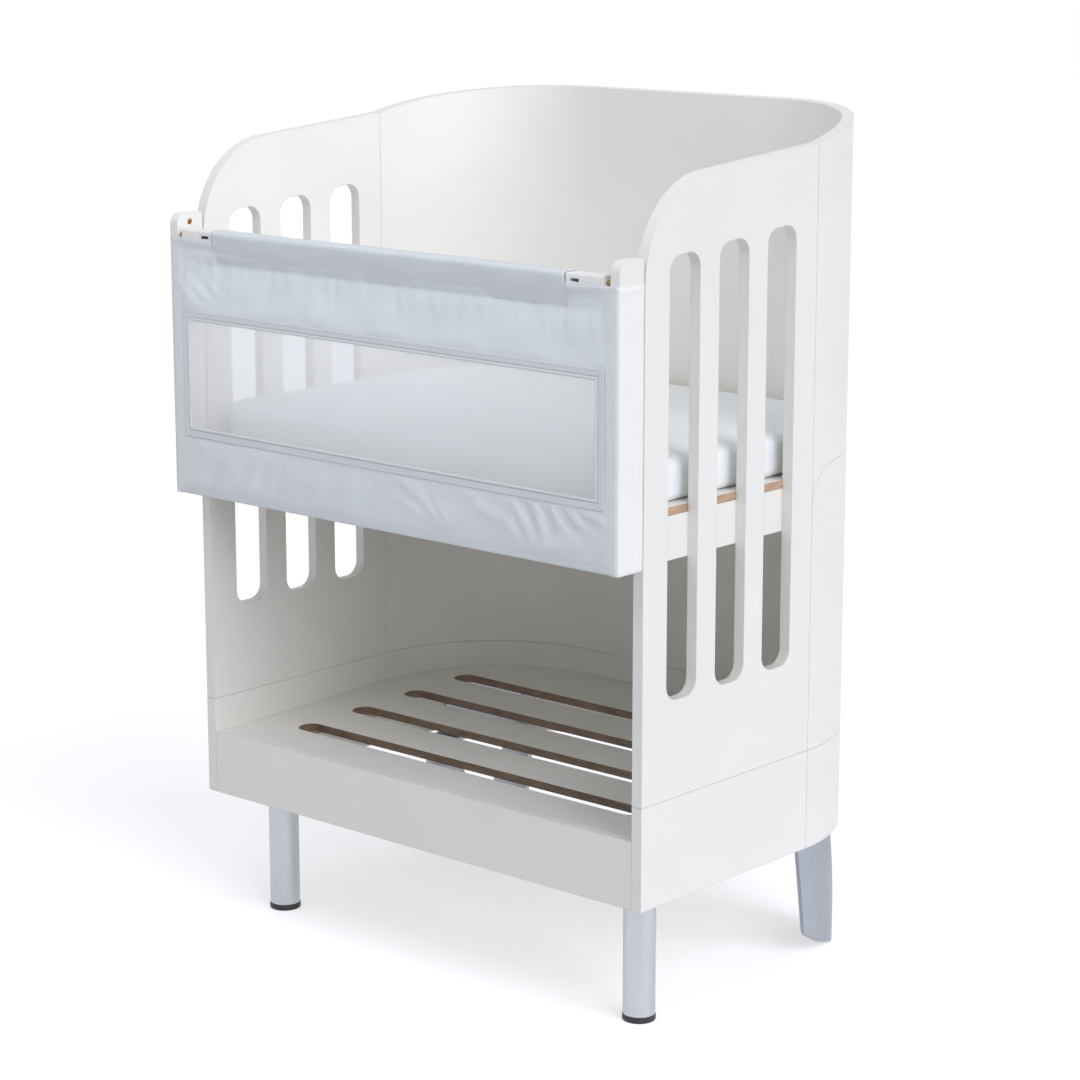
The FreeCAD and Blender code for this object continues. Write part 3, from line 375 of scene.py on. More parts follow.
leg_tube = metal_finish("leg_tube", (0.50, 0.52, 0.55), 0.36, (1, 1, 0.02))
leg_casting = metal_finish("leg_casting", (0.37, 0.39, 0.43), 0.42, (1, 1, 0.25), per_metre=1400.0)
steel = metal_finish("zinc_steel", (0.60, 0.60, 0.61), 0.38, (1, 1, 1))
aluminium = metal_finish("rail_aluminium", (0.70, 0.71, 0.72), 0.34, (0.02, 1, 1))
brass = metal_finish("pin_brass", (0.50, 0.31, 0.14), 0.34, (1, 1, 1))
print("metals", [m.name for m in (leg_tube, leg_casting, steel, aluminium, brass)])

# %% [markdown]
# ## Moulded plastic
# Glides, rail fittings and thumb knobs are moulded. Mould texture is a very fine grain, and
# handled plastic is a touch shinier where it is rubbed.

# %% Plastic
def plastic_finish(name, color, roughness, edge=0.0008):
    finish = Finish(name, color, roughness)
    spot, _ = places(finish)
    grain = noise(finish, spot, 1600.0, detail=1.0)
    rubbed = noise(finish, spot, 60.0, detail=4.0)
    tint = blend_colors(finish, rubbed.ramp(0.3, 0.7), shade(color, 0.96), shade(color, 1.03))
    finish.feed("Base Color", tint)
    finish.feed("Roughness", roughness - 0.08 + 0.16 * rubbed)
    soften(finish, grain, 0.00005, 0.5, edge=edge)
    return finish.material


black_plastic = plastic_finish("glide_plastic", (0.022, 0.022, 0.024), 0.5)
white_plastic = plastic_finish("fitting_plastic", (0.85, 0.845, 0.80), 0.38)
knob_plastic = plastic_finish("knob_plastic", (0.035, 0.03, 0.028), 0.45)
print("plastics", [m.name for m in (black_plastic, white_plastic, knob_plastic)])

# %% [markdown]
# ## Cloth
# The guard is a fine plain weave, the mattress cover a smoother one. Warp and weft are two
# sine waves crossing at right angles; slubs and washed-out patches are stretched noise. Fuzz
# at the edge of the light is the shader's own sheen, the same all over, so it isn't linked.
# The guard is a single layer, so a third of the light that meets it goes on through it.

# %% Woven cloth
def cloth_finish(name, color, pitch, source="UV", streak=0.05, relief=0.00012, thin=0.0):
    finish = Finish(name, color, 0.85, Sheen_Weight=0.25, Sheen_Roughness=0.5, Specular_IOR_Level=0.25)
    spot, (u, v, w) = places(finish, source)
    if source == "Object":
        u, v = u + w, v + w
    warp = (u * (2 * math.pi / pitch)).sine()
    weft = (v * (2 * math.pi / pitch)).sine()
    threads = warp * weft
    slub_u = noise(finish, spot, 260.0, (1, 0.06, 0.06), 2.0)
    slub_v = noise(finish, spot, 260.0, (0.06, 1, 1), 2.0)
    patch = noise(finish, spot, 11.0, detail=5.0)
    value = 0.5 + streak * threads + 0.28 * (slub_u + slub_v - 1.0) + 0.35 * (patch - 0.5)
    tint = blend_colors(finish, value.ramp(0.0, 1.0), shade(color, 0.92), shade(color, 1.07))
    finish.feed("Base Color", tint)
    finish.feed("Roughness", 0.80 + 0.12 * patch)
    soften(finish, 0.5 * threads + 1.2 * (slub_u + slub_v), relief, 0.7)
    if thin:
        finish.let_through(thin, color)
    return finish.material


guard_weave = cloth_finish("guard_weave", (0.895, 0.915, 0.92), 0.0011, thin=0.33)
post_weave = cloth_finish("post_weave", (0.92, 0.90, 0.86), 0.0011)
bed_weave = cloth_finish("mattress_weave", (0.92, 0.94, 0.93), 0.0009, source="Object", relief=0.00008)
tape_weave = cloth_finish("binding_tape", (0.755, 0.76, 0.75), 0.0008)
thread = cloth_finish("stitch_thread", (0.72, 0.72, 0.73), 0.0004, source="Object")
print("cloth", [m.name for m in (guard_weave, post_weave, bed_weave, tape_weave, thread)])

# %% [markdown]
# ## Net
# The window is a knitted net of small diamonds. Modelling every thread would take hundreds of
# thousands of faces, so one sheet carries the threads as its alpha: a strong set of slanting
# threads and a weaker one cross, and a point is net where it is near either set.

# %% Net
def net_finish(name, color, pitch, cover):
    finish = Finish(name, color, 0.8, Specular_IOR_Level=0.2)
    spot, (u, v, _) = places(finish, "UV")
    rising = ((u - 1.4 * v) * (math.pi / pitch)).sine().size()
    falling = ((u + 1.4 * v) * (math.pi / pitch)).sine().size()
    threads = rising.ramp(cover + 0.2, cover - 0.2).largest(0.5 * falling.ramp(cover, cover - 0.3))
    finish.feed("Alpha", 0.34 + 0.36 * threads)
    fuzz = noise(finish, spot, 400.0, detail=2.0)
    finish.feed("Base Color", blend_colors(finish, fuzz.ramp(0.2, 0.8), shade(color, 0.94), color))
    finish.let_through(0.4, color)
    return finish.material


net_weave = net_finish("window_net", (0.93, 0.94, 0.96), 0.0044, 0.45)
print("net", net_weave.name)

# %% Give the CAD nodes their finishes
plan = {
    white_paint: ["side_panel", "shell_upper", "back_panel_lower", "plinth", "guard_post",
                  "base_rail_left", "base_rail_right", "base_rail_front", "base_rail_back", "base_cleat"],
    raw_wood: ["shelf_cleat", "leg_board", "seam_dowels", "base_dowels"],
    leg_tube: ["front_leg"],
    leg_casting: ["rear_leg_left", "rear_leg_right"],
    steel: ["leg_plate", "rear_leg_bolts", "base_rail_screws", "guide_studs"],
    black_plastic: ["glide"],
    aluminium: ["top_rail", "bottom_rail", "guide_channel"],
    white_plastic: ["rail_fitting", "hem_dowels"],
    brass: ["rail_pin"],
    knob_plastic: ["pin_knob"],
    shelf_ply_painted_shade: ["shelf_board"],
    guard_weave: ["guard_fabric"],
    post_weave: ["post_cover"],
    tape_weave: ["window_piping"],
    net_weave: ["mesh_window"],
    bed_weave: ["mattress"],
    bed_ply: ["mattress_board"],
}
dressed = set()
for material, starts in plan.items():
    for name, obj in nodes.items():
        if any(name.startswith(start) for start in starts):
            obj.data.materials.clear()
            obj.data.materials.append(material)
            dressed.add(name)
print("dressed", len(dressed), "of", len(nodes), "missing", sorted(set(nodes) - dressed))

# %% [markdown]
# ## Surfaces on a grid
# Every soft piece is a function of two parameters, worked out for a whole grid at once: an
# array of rows by columns by three. Neighbouring points make the faces, and the distances
# along the grid make the UV map, so that cloth patterns keep their real size.

# %% From a grid to a mesh
PANEL_FOOT = np.array([0.0, -0.2841, 0.195])


def place(points):
    """Millimetres from the foot of the side panels' front edge to metres in the shared frame."""
    return np.asarray(points, float) * 0.001 + PANEL_FOOT


def grid_faces(rows, columns, ring=False, skip=None):
    """Four corners of each cell: index, next row, next row and column, next column."""
    index = np.arange(rows * columns).reshape(rows, columns)
    if ring:
        index = np.hstack([index, index[:, :1]])
    faces = np.stack([index[:-1, :-1], index[1:, :-1], index[1:, 1:], index[:-1, 1:]], -1)
    return faces[~skip] if skip is not None else faces.reshape(-1, 4)


def mesh_piece(name, points, faces, body, material, uv=None):
    """A smooth mesh object on a body, with its UV map in metres."""
    mesh = bpy.data.meshes.new(name)
    mesh.from_pydata(points.reshape(-1, 3).tolist(), [], np.asarray(faces).tolist())
    if uv is not None:
        layer = mesh.uv_layers.new(name="cloth")
        corner = np.zeros(len(mesh.loops), np.int32)
        mesh.loops.foreach_get("vertex_index", corner)
        layer.data.foreach_set("uv", uv.reshape(-1, 2)[corner].astype(np.float32).ravel())
    mesh.polygons.foreach_set("use_smooth", np.ones(len(mesh.polygons), bool))
    mesh.materials.append(material)
    mesh.update()
    obj = bpy.data.objects.new(name, mesh)
    bpy.context.scene.collection.objects.link(obj)
    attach(obj, body)
    return obj


def thicken(obj, thickness):
    """Solidify: the wall grows from the made surface towards its inner side."""
    wall = obj.modifiers.new("wall", "SOLIDIFY")
    wall.thickness = thickness
    wall.offset = -1.0


def ripples(seed, count, low, high):
    """Directions, wave numbers and phases of a few plane waves, the same on each run."""
    rng = np.random.default_rng(seed)
    turn = rng.uniform(0, 2 * np.pi, count)
    wave = 2 * np.pi / rng.uniform(low, high, count)
    return np.cos(turn) * wave, np.sin(turn) * wave, rng.uniform(0, 2 * np.pi, count)


def billow(u, v, seed, low, high, count=14):
    """Gentle random relief about 0: the sum of plane waves low to high mm long, over sqrt(count)."""
    a, b, phase = ripples(seed, count, low, high)
    waves = np.sin(u[..., None] * a + v[..., None] * b + phase)
    return waves.sum(-1) / math.sqrt(count)


def ease(value, low, high):
    """Smooth step: 0 below low, 1 above high, 3t^2 - 2t^3 between."""
    t = np.clip((value - low) / (high - low), 0, 1)
    return t * t * (3 - 2 * t)


print("grid tools ready")

# %% [markdown]
# ## Guard cloth
# One cloth is folded round the bottom rail, runs up the front, and is drawn in under the top
# rail, where it is sewn to the rail's sleeve. Past the sleeve's ends it runs straight up under
# the rail's end fittings. It could be draped by simulation, but it is held taut on all sides,
# so its few pulls and puckers are written down where the photograph has them.

# %% Guard cloth: the profile
HALF = 427.2
WINDOW = (391.0, 577.0, 737.0)
CLOTH_FRONT = -52.0
SEWN_Z = 821.0
CHEEK_TOP = 857.0
GRID_STEP = 3.2
TAPE_WIDTH = 14
HEM_BEND = 3.3
CLOTH_THICK = 0.0011


def columns_of(step, edges):
    """Values from the first edge to the last that hit each edge, about step apart."""
    parts = []
    for a, b in zip(edges, edges[1:]):
        count = max(2, int(round((b - a) / step)) + 1)
        parts.append(np.linspace(a, b, count)[:-1])
    return np.concatenate(parts + [[edges[-1]]])


right_edges = [334.0, 339.0, 352.0, WINDOW[0], 409.0, 424.0, HALF]
xs = columns_of(GRID_STEP, [-edge for edge in right_edges[::-1]] + right_edges)
turn = np.radians(np.linspace(0, 90, 6))
back_leg = np.stack([np.full(7, -29.6), np.linspace(501.0, 479.0, 7)], 1)
back_round = np.stack([-32.9 + HEM_BEND * np.cos(turn), 478.7 - HEM_BEND * np.sin(turn)], 1)
under = np.stack([np.linspace(-34.0, -48.0, 5), np.full(5, 475.4)], 1)
front_round = np.stack([-48.7 - HEM_BEND * np.sin(turn), 478.7 - HEM_BEND * np.cos(turn)], 1)
hem_path = np.vstack([back_leg, back_round, under, front_round])
front_z = columns_of(GRID_STEP, [483.0, WINDOW[1], WINDOW[2], 780.0])
to_crease = np.linspace(0, 1, 12)[1:]
to_top = np.linspace(0, 1, 12)[1:]
print("cloth columns", len(xs), "rows", len(hem_path) + len(front_z) + len(to_crease) + len(to_top))

# %% Guard cloth: relief and drawn-in top
def front_relief(x, z):
    """Outward relief in mm: billows, slanting pulls below the window, puckers at the crease."""
    taut = ease(z, 480, 505) * (1 - ease(np.abs(x), 400, 413))
    half_width, foot, head = WINDOW
    above_or_below = np.maximum(foot - TAPE_WIDTH - z, z - head - TAPE_WIDTH)
    near_window = np.maximum(np.abs(x) - half_width - TAPE_WIDTH, above_or_below)
    open_field = ease(near_window, 0, 10) * taut
    soft = 1.2 + 1.6 * billow(x, z * 1.7, 3, 60, 190) + 0.22 * billow(x, z, 13, 18, 50)
    along = x + 0.85 * z
    slant = np.sin(along * 2 * np.pi / 43.0 + 2.6 * billow(x, z, 9, 70, 190))
    strength = np.clip(0.6 + 0.6 * billow(x, z, 15, 50, 150), 0.1, 1.6)
    pulls = 1.7 * slant * strength * ease(x, -120, 200) * ease(z, 486, 540)
    fine = np.sin(along * 2 * np.pi / 13.5 + 1.5 * billow(x, z, 17, 40, 110))
    pulls = pulls + 0.75 * fine * strength * ease(x, 190, 330) * ease(z, 512, 552)
    slant_left = np.sin((x * 0.9 - z * 0.7) * 2 * np.pi / 44.0 + billow(x, z, 21, 80, 160))
    pulls = pulls + 0.8 * slant_left * (1 - ease(x, -250, 40)) * (1 - ease(z, 520, 545))
    below = 1 - ease(z, 552, 564)
    corner = np.exp(-((x + 372) / 48) ** 2 - ((z - 781) / 24) ** 2)
    pucker = 0.8 * corner * np.sin((x * 0.6 + z * 0.8) * 2 * np.pi / 21.0)
    crease = np.sin(x * 2 * np.pi / 31.0 + 2.0 * billow(x, z * 0.2, 5, 60, 160))
    gathers = 0.45 * crease * ease(z, 768, 812) * (1 - ease(z, 822, 834))
    low = (np.maximum(soft, 0) + pulls * below + gathers) * open_field
    return low * (1 - ease(z, 830, 846)) + pucker * ease(z, 755, 770) * (1 - ease(z, 812, 830))


def slump(x, z):
    """The window hangs a little lower to the right: mm to add to z, none at hem and crease."""
    window = ease(z, 500, 556) * (1 - ease(z, 750, 806))
    return -3.4 * (x + WINDOW[0]) / (2 * WINDOW[0]) * window


hem = np.zeros((len(hem_path), len(xs), 3))
hem[..., 0] = xs
hem[..., 1] = hem_path[:, :1]
hem[..., 2] = hem_path[:, 1:]
hem[..., 1] += 0.5 * ease(np.abs(hem[..., 0]), 424.0, HALF) * (hem[..., 1] < -40)
cheek = ease(np.abs(xs), 334.0, 339.0)
past = ease(np.abs(xs), 345, 410)
crease_z = SEWN_Z + past * np.where(xs > 0, 13.0, 4.0)
top_z = 845.0 + (CHEEK_TOP - 3.0 - 845.0) * cheek + 3.0 * past
on_post = ease(np.abs(xs), 398, 411)
drawn = (7.3 - 5.6 * past) * (1 - 0.25 * cheek) * (1 - on_post)
middle_z = 780.0 + to_crease[:, None] * (crease_z - 780.0)
upper_z = crease_z + to_top[:, None] * (top_z - crease_z)
rows_z = np.vstack([np.repeat(front_z[:, None], len(xs), 1), middle_z, upper_z])
X = np.repeat(xs[None, :], len(rows_z), 0)
rise = np.clip((rows_z - 744.0) / (crease_z - 744.0), 0, 1) ** 1.6
fall = np.clip((rows_z - crease_z) / (top_z - crease_z), 0, 1)
behind = 1.5 * (1 - cheek) * ease(rows_z, 819.0, 824.0)
proud = 1.9 * cheek * ease(rows_z, 838.0, 848.0) * (1 - ease(np.abs(X), 402.0, 412.0))
hemmed = 0.45 * cheek * ease(rows_z, top_z - 7.0, top_z - 5.6)
hemmed = hemmed * (1 - 0.8 * ease(rows_z, top_z - 1.4, top_z))
relief = front_relief(X, rows_z)
back_at = np.where(rows_z > crease_z, drawn * (1 - fall ** 0.9), drawn * rise)
dish = 0.8 * ease(np.abs(X), 396.0, 403.0) * (1 - ease(np.abs(X), 404.0, 411.0))
turned_in = 0.5 * ease(np.abs(X), 424.0, HALF) + dish * ease(rows_z, 560.0, 640.0)
front = np.stack([X, CLOTH_FRONT + back_at + behind - proud - hemmed - relief + turned_in, rows_z], -1)
front[..., 2] += slump(X, rows_z)
cloth = np.concatenate([hem, front])
print("relief from", round(float(relief.min()), 2), "to", round(float(relief.max()), 2), "mm")

# %% Guard cloth: the mesh
def lengths_along(points):
    """UV in metres: distance along each column, and along each row."""
    down = np.concatenate([np.zeros((1, points.shape[1])),
                           np.cumsum(np.linalg.norm(np.diff(points, axis=0), axis=-1), 0)])
    along = np.hstack([np.zeros((points.shape[0], 1)),
                       np.cumsum(np.linalg.norm(np.diff(points, axis=1), axis=-1), 1)])
    return np.stack([along, down], -1) * 0.001


centre_x = (xs[:-1] + xs[1:]) / 2
flat_z = np.concatenate([hem_path[:, 1], rows_z[:, 0]])
centre_z = (flat_z[:-1] + flat_z[1:]) / 2
in_front = np.arange(len(cloth) - 1) >= len(hem)
hole = ((np.abs(centre_x)[None, :] < WINDOW[0]) & (centre_z[:, None] > WINDOW[1])
        & (centre_z[:, None] < WINDOW[2]) & in_front[:, None])
faces = grid_faces(*cloth.shape[:2], skip=hole)
guard_cloth = mesh_piece("guard_cloth", place(cloth), faces[:, ::-1], "guard",
                         guard_weave, lengths_along(cloth))
thicken(guard_cloth, CLOTH_THICK)

# %% [markdown]
# ## Rail sleeve
# The top rail runs in a sleeve of the same cloth. In section it is a drop: round over the
# rail, tapering to the sewn line below. A path is carried along X and waves a little, because
# the cloth is a few millimetres too wide for the rail.

# %% Rounded path
def rounded_path(corners, step=1.6):
    """Closed path past corners (y, z, reach of the bend): straight runs joined by smooth bends."""
    corners = np.asarray(corners, float)
    pieces = []
    for i, (y, z, r) in enumerate(corners):
        here = np.array([y, z])
        to_before = corners[i - 1][:2] - here
        to_after = corners[(i + 1) % len(corners)][:2] - here
        a = to_before / np.linalg.norm(to_before)
        b = to_after / np.linalg.norm(to_after)
        half = math.acos(np.clip(a @ b, -1, 1)) / 2
        reach = r / math.tan(half)
        start, end = here + a * reach, here + b * reach
        t = np.linspace(0, 1, 9)[:, None]
        pieces.append((1 - t) ** 2 * start + 2 * t * (1 - t) * here + t ** 2 * end)
    loop = np.vstack(pieces + [pieces[0][:1]])
    walked = np.concatenate([[0], np.cumsum(np.linalg.norm(np.diff(loop, axis=0), axis=1))])
    keep = np.concatenate([[True], np.diff(walked) > 1e-6])
    count = int(walked[-1] / step)
    at = np.linspace(0, walked[-1], count, endpoint=False)
    return np.stack([np.interp(at, walked[keep], loop[keep, i]) for i in range(2)], 1)


sleeve_corners = [(-44.6, 821.2, 0.8), (-51.9, 846.0, 60.0), (-56.2, 870.4, 6.5),
                  (-24.6, 870.4, 8.0), (-24.6, 846.0, 17.0), (-42.2, 821.2, 0.8)]
section = rounded_path(sleeve_corners)
print("sleeve section points", len(section))

# %% Rail sleeve: the mesh
SLEEVE_END = 337.6
sx = columns_of(4.0, [-SLEEVE_END, -330.0, 330.0, SLEEVE_END])
outward = section - np.array([-40.0, 856.0])
outward /= np.linalg.norm(outward, axis=1, keepdims=True)
walk = np.linspace(0, 150, len(section))
SX, W = np.meshgrid(sx, walk, indexing="ij")
slack = 0.55 + 0.45 * billow(SX, W * 1.6, 31, 50, 220)
pull = 0.5 * np.sin(SX * 2 * np.pi / 47.0 + 1.6 * billow(SX, W, 33, 70, 200))
free = np.clip((section[:, 1] - 824.0) / 14.0, 0, 1)[None, :]
held = 1 - 0.55 * ease(np.abs(SX), 318, 337)
loose = (np.maximum(slack, 0) + 0.55 * np.maximum(pull, 0)) * free * held
sleeve_points = np.zeros((len(sx), len(section), 3))
sleeve_points[..., 0] = SX
sleeve_points[..., 1:] = section[None] + outward[None] * loose[..., None]
girth = float(np.linalg.norm(np.diff(np.vstack([section, section[:1]]), axis=0), axis=1).sum()) * 0.001
sleeve_uv = np.stack([W / 150 * girth, SX * 0.001], -1)
rail_sleeve = mesh_piece("rail_sleeve", place(sleeve_points), grid_faces(*SX.shape, ring=True), "guard",
                         guard_weave, sleeve_uv)
thicken(rail_sleeve, CLOTH_THICK)
print("sleeve girth", round(girth, 4), "m")

# %% [markdown]
# ## Post covers
# The cloth turns round each post as a snug cover, open at the back. Its section is a U with
# soft corners, carried up the post. The top edge is hemmed, so it is a little thicker there.
# The front cloth laps over its front.

# %% Post covers
COVER_FOOT, COVER_TOP = 475.2, 856.0


def post_cover(sign):
    """U section in (x, y): inside, rounded front corners, outside; carried from foot to top."""
    r = 3.2
    turn = np.radians(np.linspace(0, 90, 7))
    inside = np.stack([np.full(9, 413.2), np.linspace(-1.4, -47.0, 9)], 1)
    first = np.stack([413.2 + r - r * np.cos(turn), -51.3 + r - r * np.sin(turn)], 1)
    across = np.stack([np.linspace(418.0, 425.0, 4), np.linspace(-51.35, -51.5, 4)], 1)
    second = np.stack([429.9 - r + r * np.sin(turn), -51.6 + r - r * np.cos(turn)], 1)
    outside = np.stack([np.full(15, 429.9), np.linspace(-47.0, -1.4, 15)], 1)
    plan = np.vstack([inside, first, across, second, outside])
    normal = np.gradient(plan, axis=0)
    normal = np.stack([normal[:, 1], -normal[:, 0]], 1)
    normal /= np.linalg.norm(normal, axis=1, keepdims=True)
    if normal[-3, 0] < 0:
        normal = -normal
    zs = columns_of(4.4, [COVER_FOOT, 478.0, 838.0, 844.0, COVER_TOP])
    walk = np.concatenate([[0], np.cumsum(np.linalg.norm(np.diff(plan, axis=0), axis=1))])
    Z, S = np.meshgrid(zs, walk, indexing="ij")
    wave = 0.35 + 0.35 * billow(S * 1.4, Z, 41 if sign > 0 else 43, 60, 200)
    hemmed = 0.55 * ease(Z, 841, 843.5) - 0.35 * ease(Z, 853.5, COVER_TOP)
    foot = -0.5 * (1 - ease(Z, 475, 478.5))
    lift = np.clip(wave, 0, 1.1) * ease(Z, 480, 500) * (1 - ease(Z, 828, 838)) + hemmed + foot
    lift = lift * (0.25 + 0.75 * ease(S, 2, 12)) * (0.1 + 0.9 * ease(S, 62, 74))
    points = np.zeros((*Z.shape, 3))
    points[..., :2] = plan[None] + normal[None] * lift[..., None]
    points[..., 0] *= sign
    points[..., 2] = Z
    faces = grid_faces(*Z.shape)
    side = "right" if sign > 0 else "left"
    obj = mesh_piece(f"post_cover_cloth_{side}", place(points), faces if sign < 0 else faces[:, ::-1],
                     "guard", post_weave, np.stack([S, Z], -1) * 0.001)
    thicken(obj, 0.0009)
    return obj, (float(walk[-1]) * 0.001, float(zs[-1] - zs[0]) * 0.001)


covers = {}
for side, sign in (("left", -1), ("right", 1)):
    covers[side], cover_cut = post_cover(sign)
    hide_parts(f"post_cover_{side}")
print("post cover cut", [round(v, 3) for v in cover_cut])

# %% [markdown]
# ## Window binding and stitches
# A doubled tape binds the net to the cloth: thin piping, a groove and a flat band, with stitches
# in the groove and near the outer edge. The tape is one profile carried round a rectangle with
# small corners. Each stitch is a short capsule, and all are one array: one shape, many places.

# %% Binding
OPENING = (394.8, 573.2, 740.8)


def frame_loop(half_x, z0, z1, r, step=2.6):
    """Points, and directions along, round a rectangle with small corners: as many for any size."""
    t = np.radians(np.linspace(0, 90, 6))
    arc = r * np.stack([np.cos(t), np.sin(t)], 1)
    across, up = int(2 * OPENING[0] / step), int((OPENING[2] - OPENING[1]) / step)
    loop = []
    for cx, cz, spin, count in ((half_x - r, z1 - r, 0, across), (-half_x + r, z1 - r, 1, up),
                                (-half_x + r, z0 + r, 2, across), (half_x - r, z0 + r, 3, up)):
        c, s = math.cos(spin * math.pi / 2), math.sin(spin * math.pi / 2)
        loop.append((np.array([cx, cz]) + arc @ np.array([[c, s], [-s, c]]), count))
    points = []
    for i, (corner, count) in enumerate(loop):
        after = loop[(i + 1) % 4][0][0]
        run = np.linspace(0, 1, count + 2)[1:-1, None]
        points += [corner, corner[-1] + (after - corner[-1]) * run]
    points = np.vstack(points)
    along = np.roll(points, -1, axis=0) - np.roll(points, 1, axis=0)
    return points, along / np.linalg.norm(along, axis=1, keepdims=True)


def bound(off, step=2.6):
    """The loop at this distance outside the groove, with small corners."""
    half_x, foot, head = OPENING
    return frame_loop(half_x + off, foot - off, head + off, 1.4 + 0.12 * (off + 5), step)


s = np.concatenate([np.linspace(-4.6, -0.35, 10), np.linspace(0.35, 10.4, 16)])
piping = 1.75 * np.sqrt(np.clip(1 - ((s + 2.5) / 2.15) ** 2, 0, 1))
hollow = 1 - 0.25 * np.sin(np.clip(s / 10.4, 0, 1) * np.pi)
band = 1.25 * np.clip(1 - (np.abs(s - 5.4) / 5.0) ** 5, 0, 1) ** 0.5 * hollow
ridge = np.where(s < 0, piping, band) + 0.1
flat_back = np.stack([s[::-1][1:-1], np.full(len(s) - 2, -0.1)], 1)
tape = np.vstack([np.stack([s, ridge], 1), flat_back])
walked = np.concatenate([[0], np.cumsum(np.linalg.norm(np.diff(bound(0.0)[0], axis=0), axis=1))])
worn = 1 + 0.10 * billow(walked, walked * 0.3, 61, 14, 60)
binding_points = np.zeros((len(walked), len(tape), 3))
for column, (off, height) in enumerate(tape):
    spots = bound(off)[0]
    binding_points[:, column, 0] = spots[:, 0]
    binding_points[:, column, 2] = spots[:, 1] + slump(spots[:, 0], spots[:, 1])
    binding_points[:, column, 1] = CLOTH_FRONT - 0.15 - height * (worn if height > 0 else 1.0)
faces = grid_faces(len(walked) + 1, len(tape), ring=True) % (len(walked) * len(tape))
tape_uv = np.stack([np.repeat(walked[:, None], len(tape), 1),
                    np.repeat(np.concatenate([s, s[::-1][1:-1]])[None], len(walked), 0)], -1) * 0.001
binding = mesh_piece("window_binding", place(binding_points), faces[:, ::-1], "guard",
                     tape_weave, tape_uv)
print("binding points", binding_points.shape[:2])

# %% Stitches
def stitches(name, middles, along, up, body, length=2.1, radius=0.32):
    """Many capsules: five six-sided rings, narrow at the ends, along a short line at each middle.

    Each ring point is middle + along * t * length / 2 + up * r cos a + side * r sin a.
    """
    a = np.linspace(0, 2 * np.pi, 6, endpoint=False)
    t = np.array([-1.0, -0.75, 0.0, 0.75, 1.0])
    thick = np.array([0.25, 0.85, 1.0, 0.85, 0.25]) * radius
    side = np.cross(along, up)
    ring_up = thick[:, None] * np.cos(a)[None]
    ring_side = thick[:, None] * np.sin(a)[None]
    points = middles[:, None, None] + along[:, None, None] * (t * length / 2)[None, :, None, None]
    points = points + up[:, None, None] * ring_up[None, ..., None]
    points = points + side[:, None, None] * ring_side[None, ..., None]
    one = grid_faces(5, 6, ring=True)
    faces = (one[None] + (np.arange(len(middles)) * 30)[:, None, None]).reshape(-1, 4)
    caps = (np.arange(len(middles))[:, None, None] * 30 + np.array([[0, 1, 2, 3], [0, 3, 4, 5],
            [24, 27, 26, 25], [24, 29, 28, 27]])[None]).reshape(-1, 4)
    return mesh_piece(name, place(points.reshape(-1, 3)), np.vstack([faces, caps]), body, thread)


rows = []
for off, proud_of in ((0.0, 0.5), (8.6, 1.5)):
    spots, heading = bound(off, 3.3)
    height = spots[:, 1] + slump(spots[:, 0], spots[:, 1])
    middle = np.stack([spots[:, 0], np.full(len(spots), CLOTH_FRONT - proud_of), height], 1)
    rows.append((middle, np.stack([heading[:, 0], np.zeros(len(spots)), heading[:, 1]], 1)))
middle = np.vstack([r[0] for r in rows])
along = np.vstack([r[1] for r in rows])
facing = np.tile(np.array([0.0, -1.0, 0.0]), (len(middle), 1))
binding_stitches = stitches("binding_stitches", middle, along, facing, "guard")
print("stitches on the binding", len(middle))

# %% Stitches along the hems
def straight_row(start, end, up, pitch=3.6):
    start, end = np.array(start, float), np.array(end, float)
    run = np.linalg.norm(end - start)
    t = np.arange(pitch / 2, run, pitch)[:, None]
    d = (end - start) / run
    return start + d * t, np.tile(d, (len(t), 1)), np.tile(np.array(up, float), (len(t), 1))


FORWARD = (0, -1, 0)
COVER_SIDE = 430.55
seam_rows = []
for sign in (-1, 1):
    seam_rows.append(straight_row((sign * 342.0, -53.9, 844.5), (sign * 425.0, -52.1, 851.5), FORWARD))
    cover_start, cover_end = (sign * COVER_SIDE, -46.0, 846.5), (sign * COVER_SIDE, -4.0, 846.5)
    seam_rows.append(straight_row(cover_start, cover_end, (sign, 0, 0)))
seam_rows.append(straight_row((-425.0, -52.05, 486.0), (425.0, -52.05, 486.0), FORWARD))
middle, along, facing = [np.vstack([row[i] for row in seam_rows]) for i in range(3)]
seam_stitches = stitches("seam_stitches", middle, along, facing, "guard")
print("stitches on the seams", sum(len(row[0]) for row in seam_rows))

# %% Net sheet
nx = columns_of(8.0, [-392.5, 392.5])
nz = columns_of(8.0, [575.5, 738.5])
NX, NZ = np.meshgrid(nx, nz, indexing="ij")
inside = ease(388 - np.abs(NX), 0, 60) * ease(NZ, 577, 610) * (1 - ease(NZ, 700, 732))
sag = 0.9 * inside * billow(NX, NZ, 71, 150, 420)
net_points = np.stack([NX, CLOTH_FRONT + 0.75 + sag, NZ + slump(NX, NZ)], -1)
window_net = mesh_piece("window_net", place(net_points), grid_faces(*NX.shape)[:, ::-1], "guard",
                        net_weave, np.stack([NX, NZ], -1) * 0.001)
print("net", NX.shape)

# %% [markdown]
# ## Mattress
# A foam mattress in a smooth cover: full sides, a low crown, softly pressed where it rests.
# The closed form is a stack of rounded-rectangle rings. A short cloth simulation with a little
# pressure then makes it swell like a filled cover, and a cap keeps it off the walls.

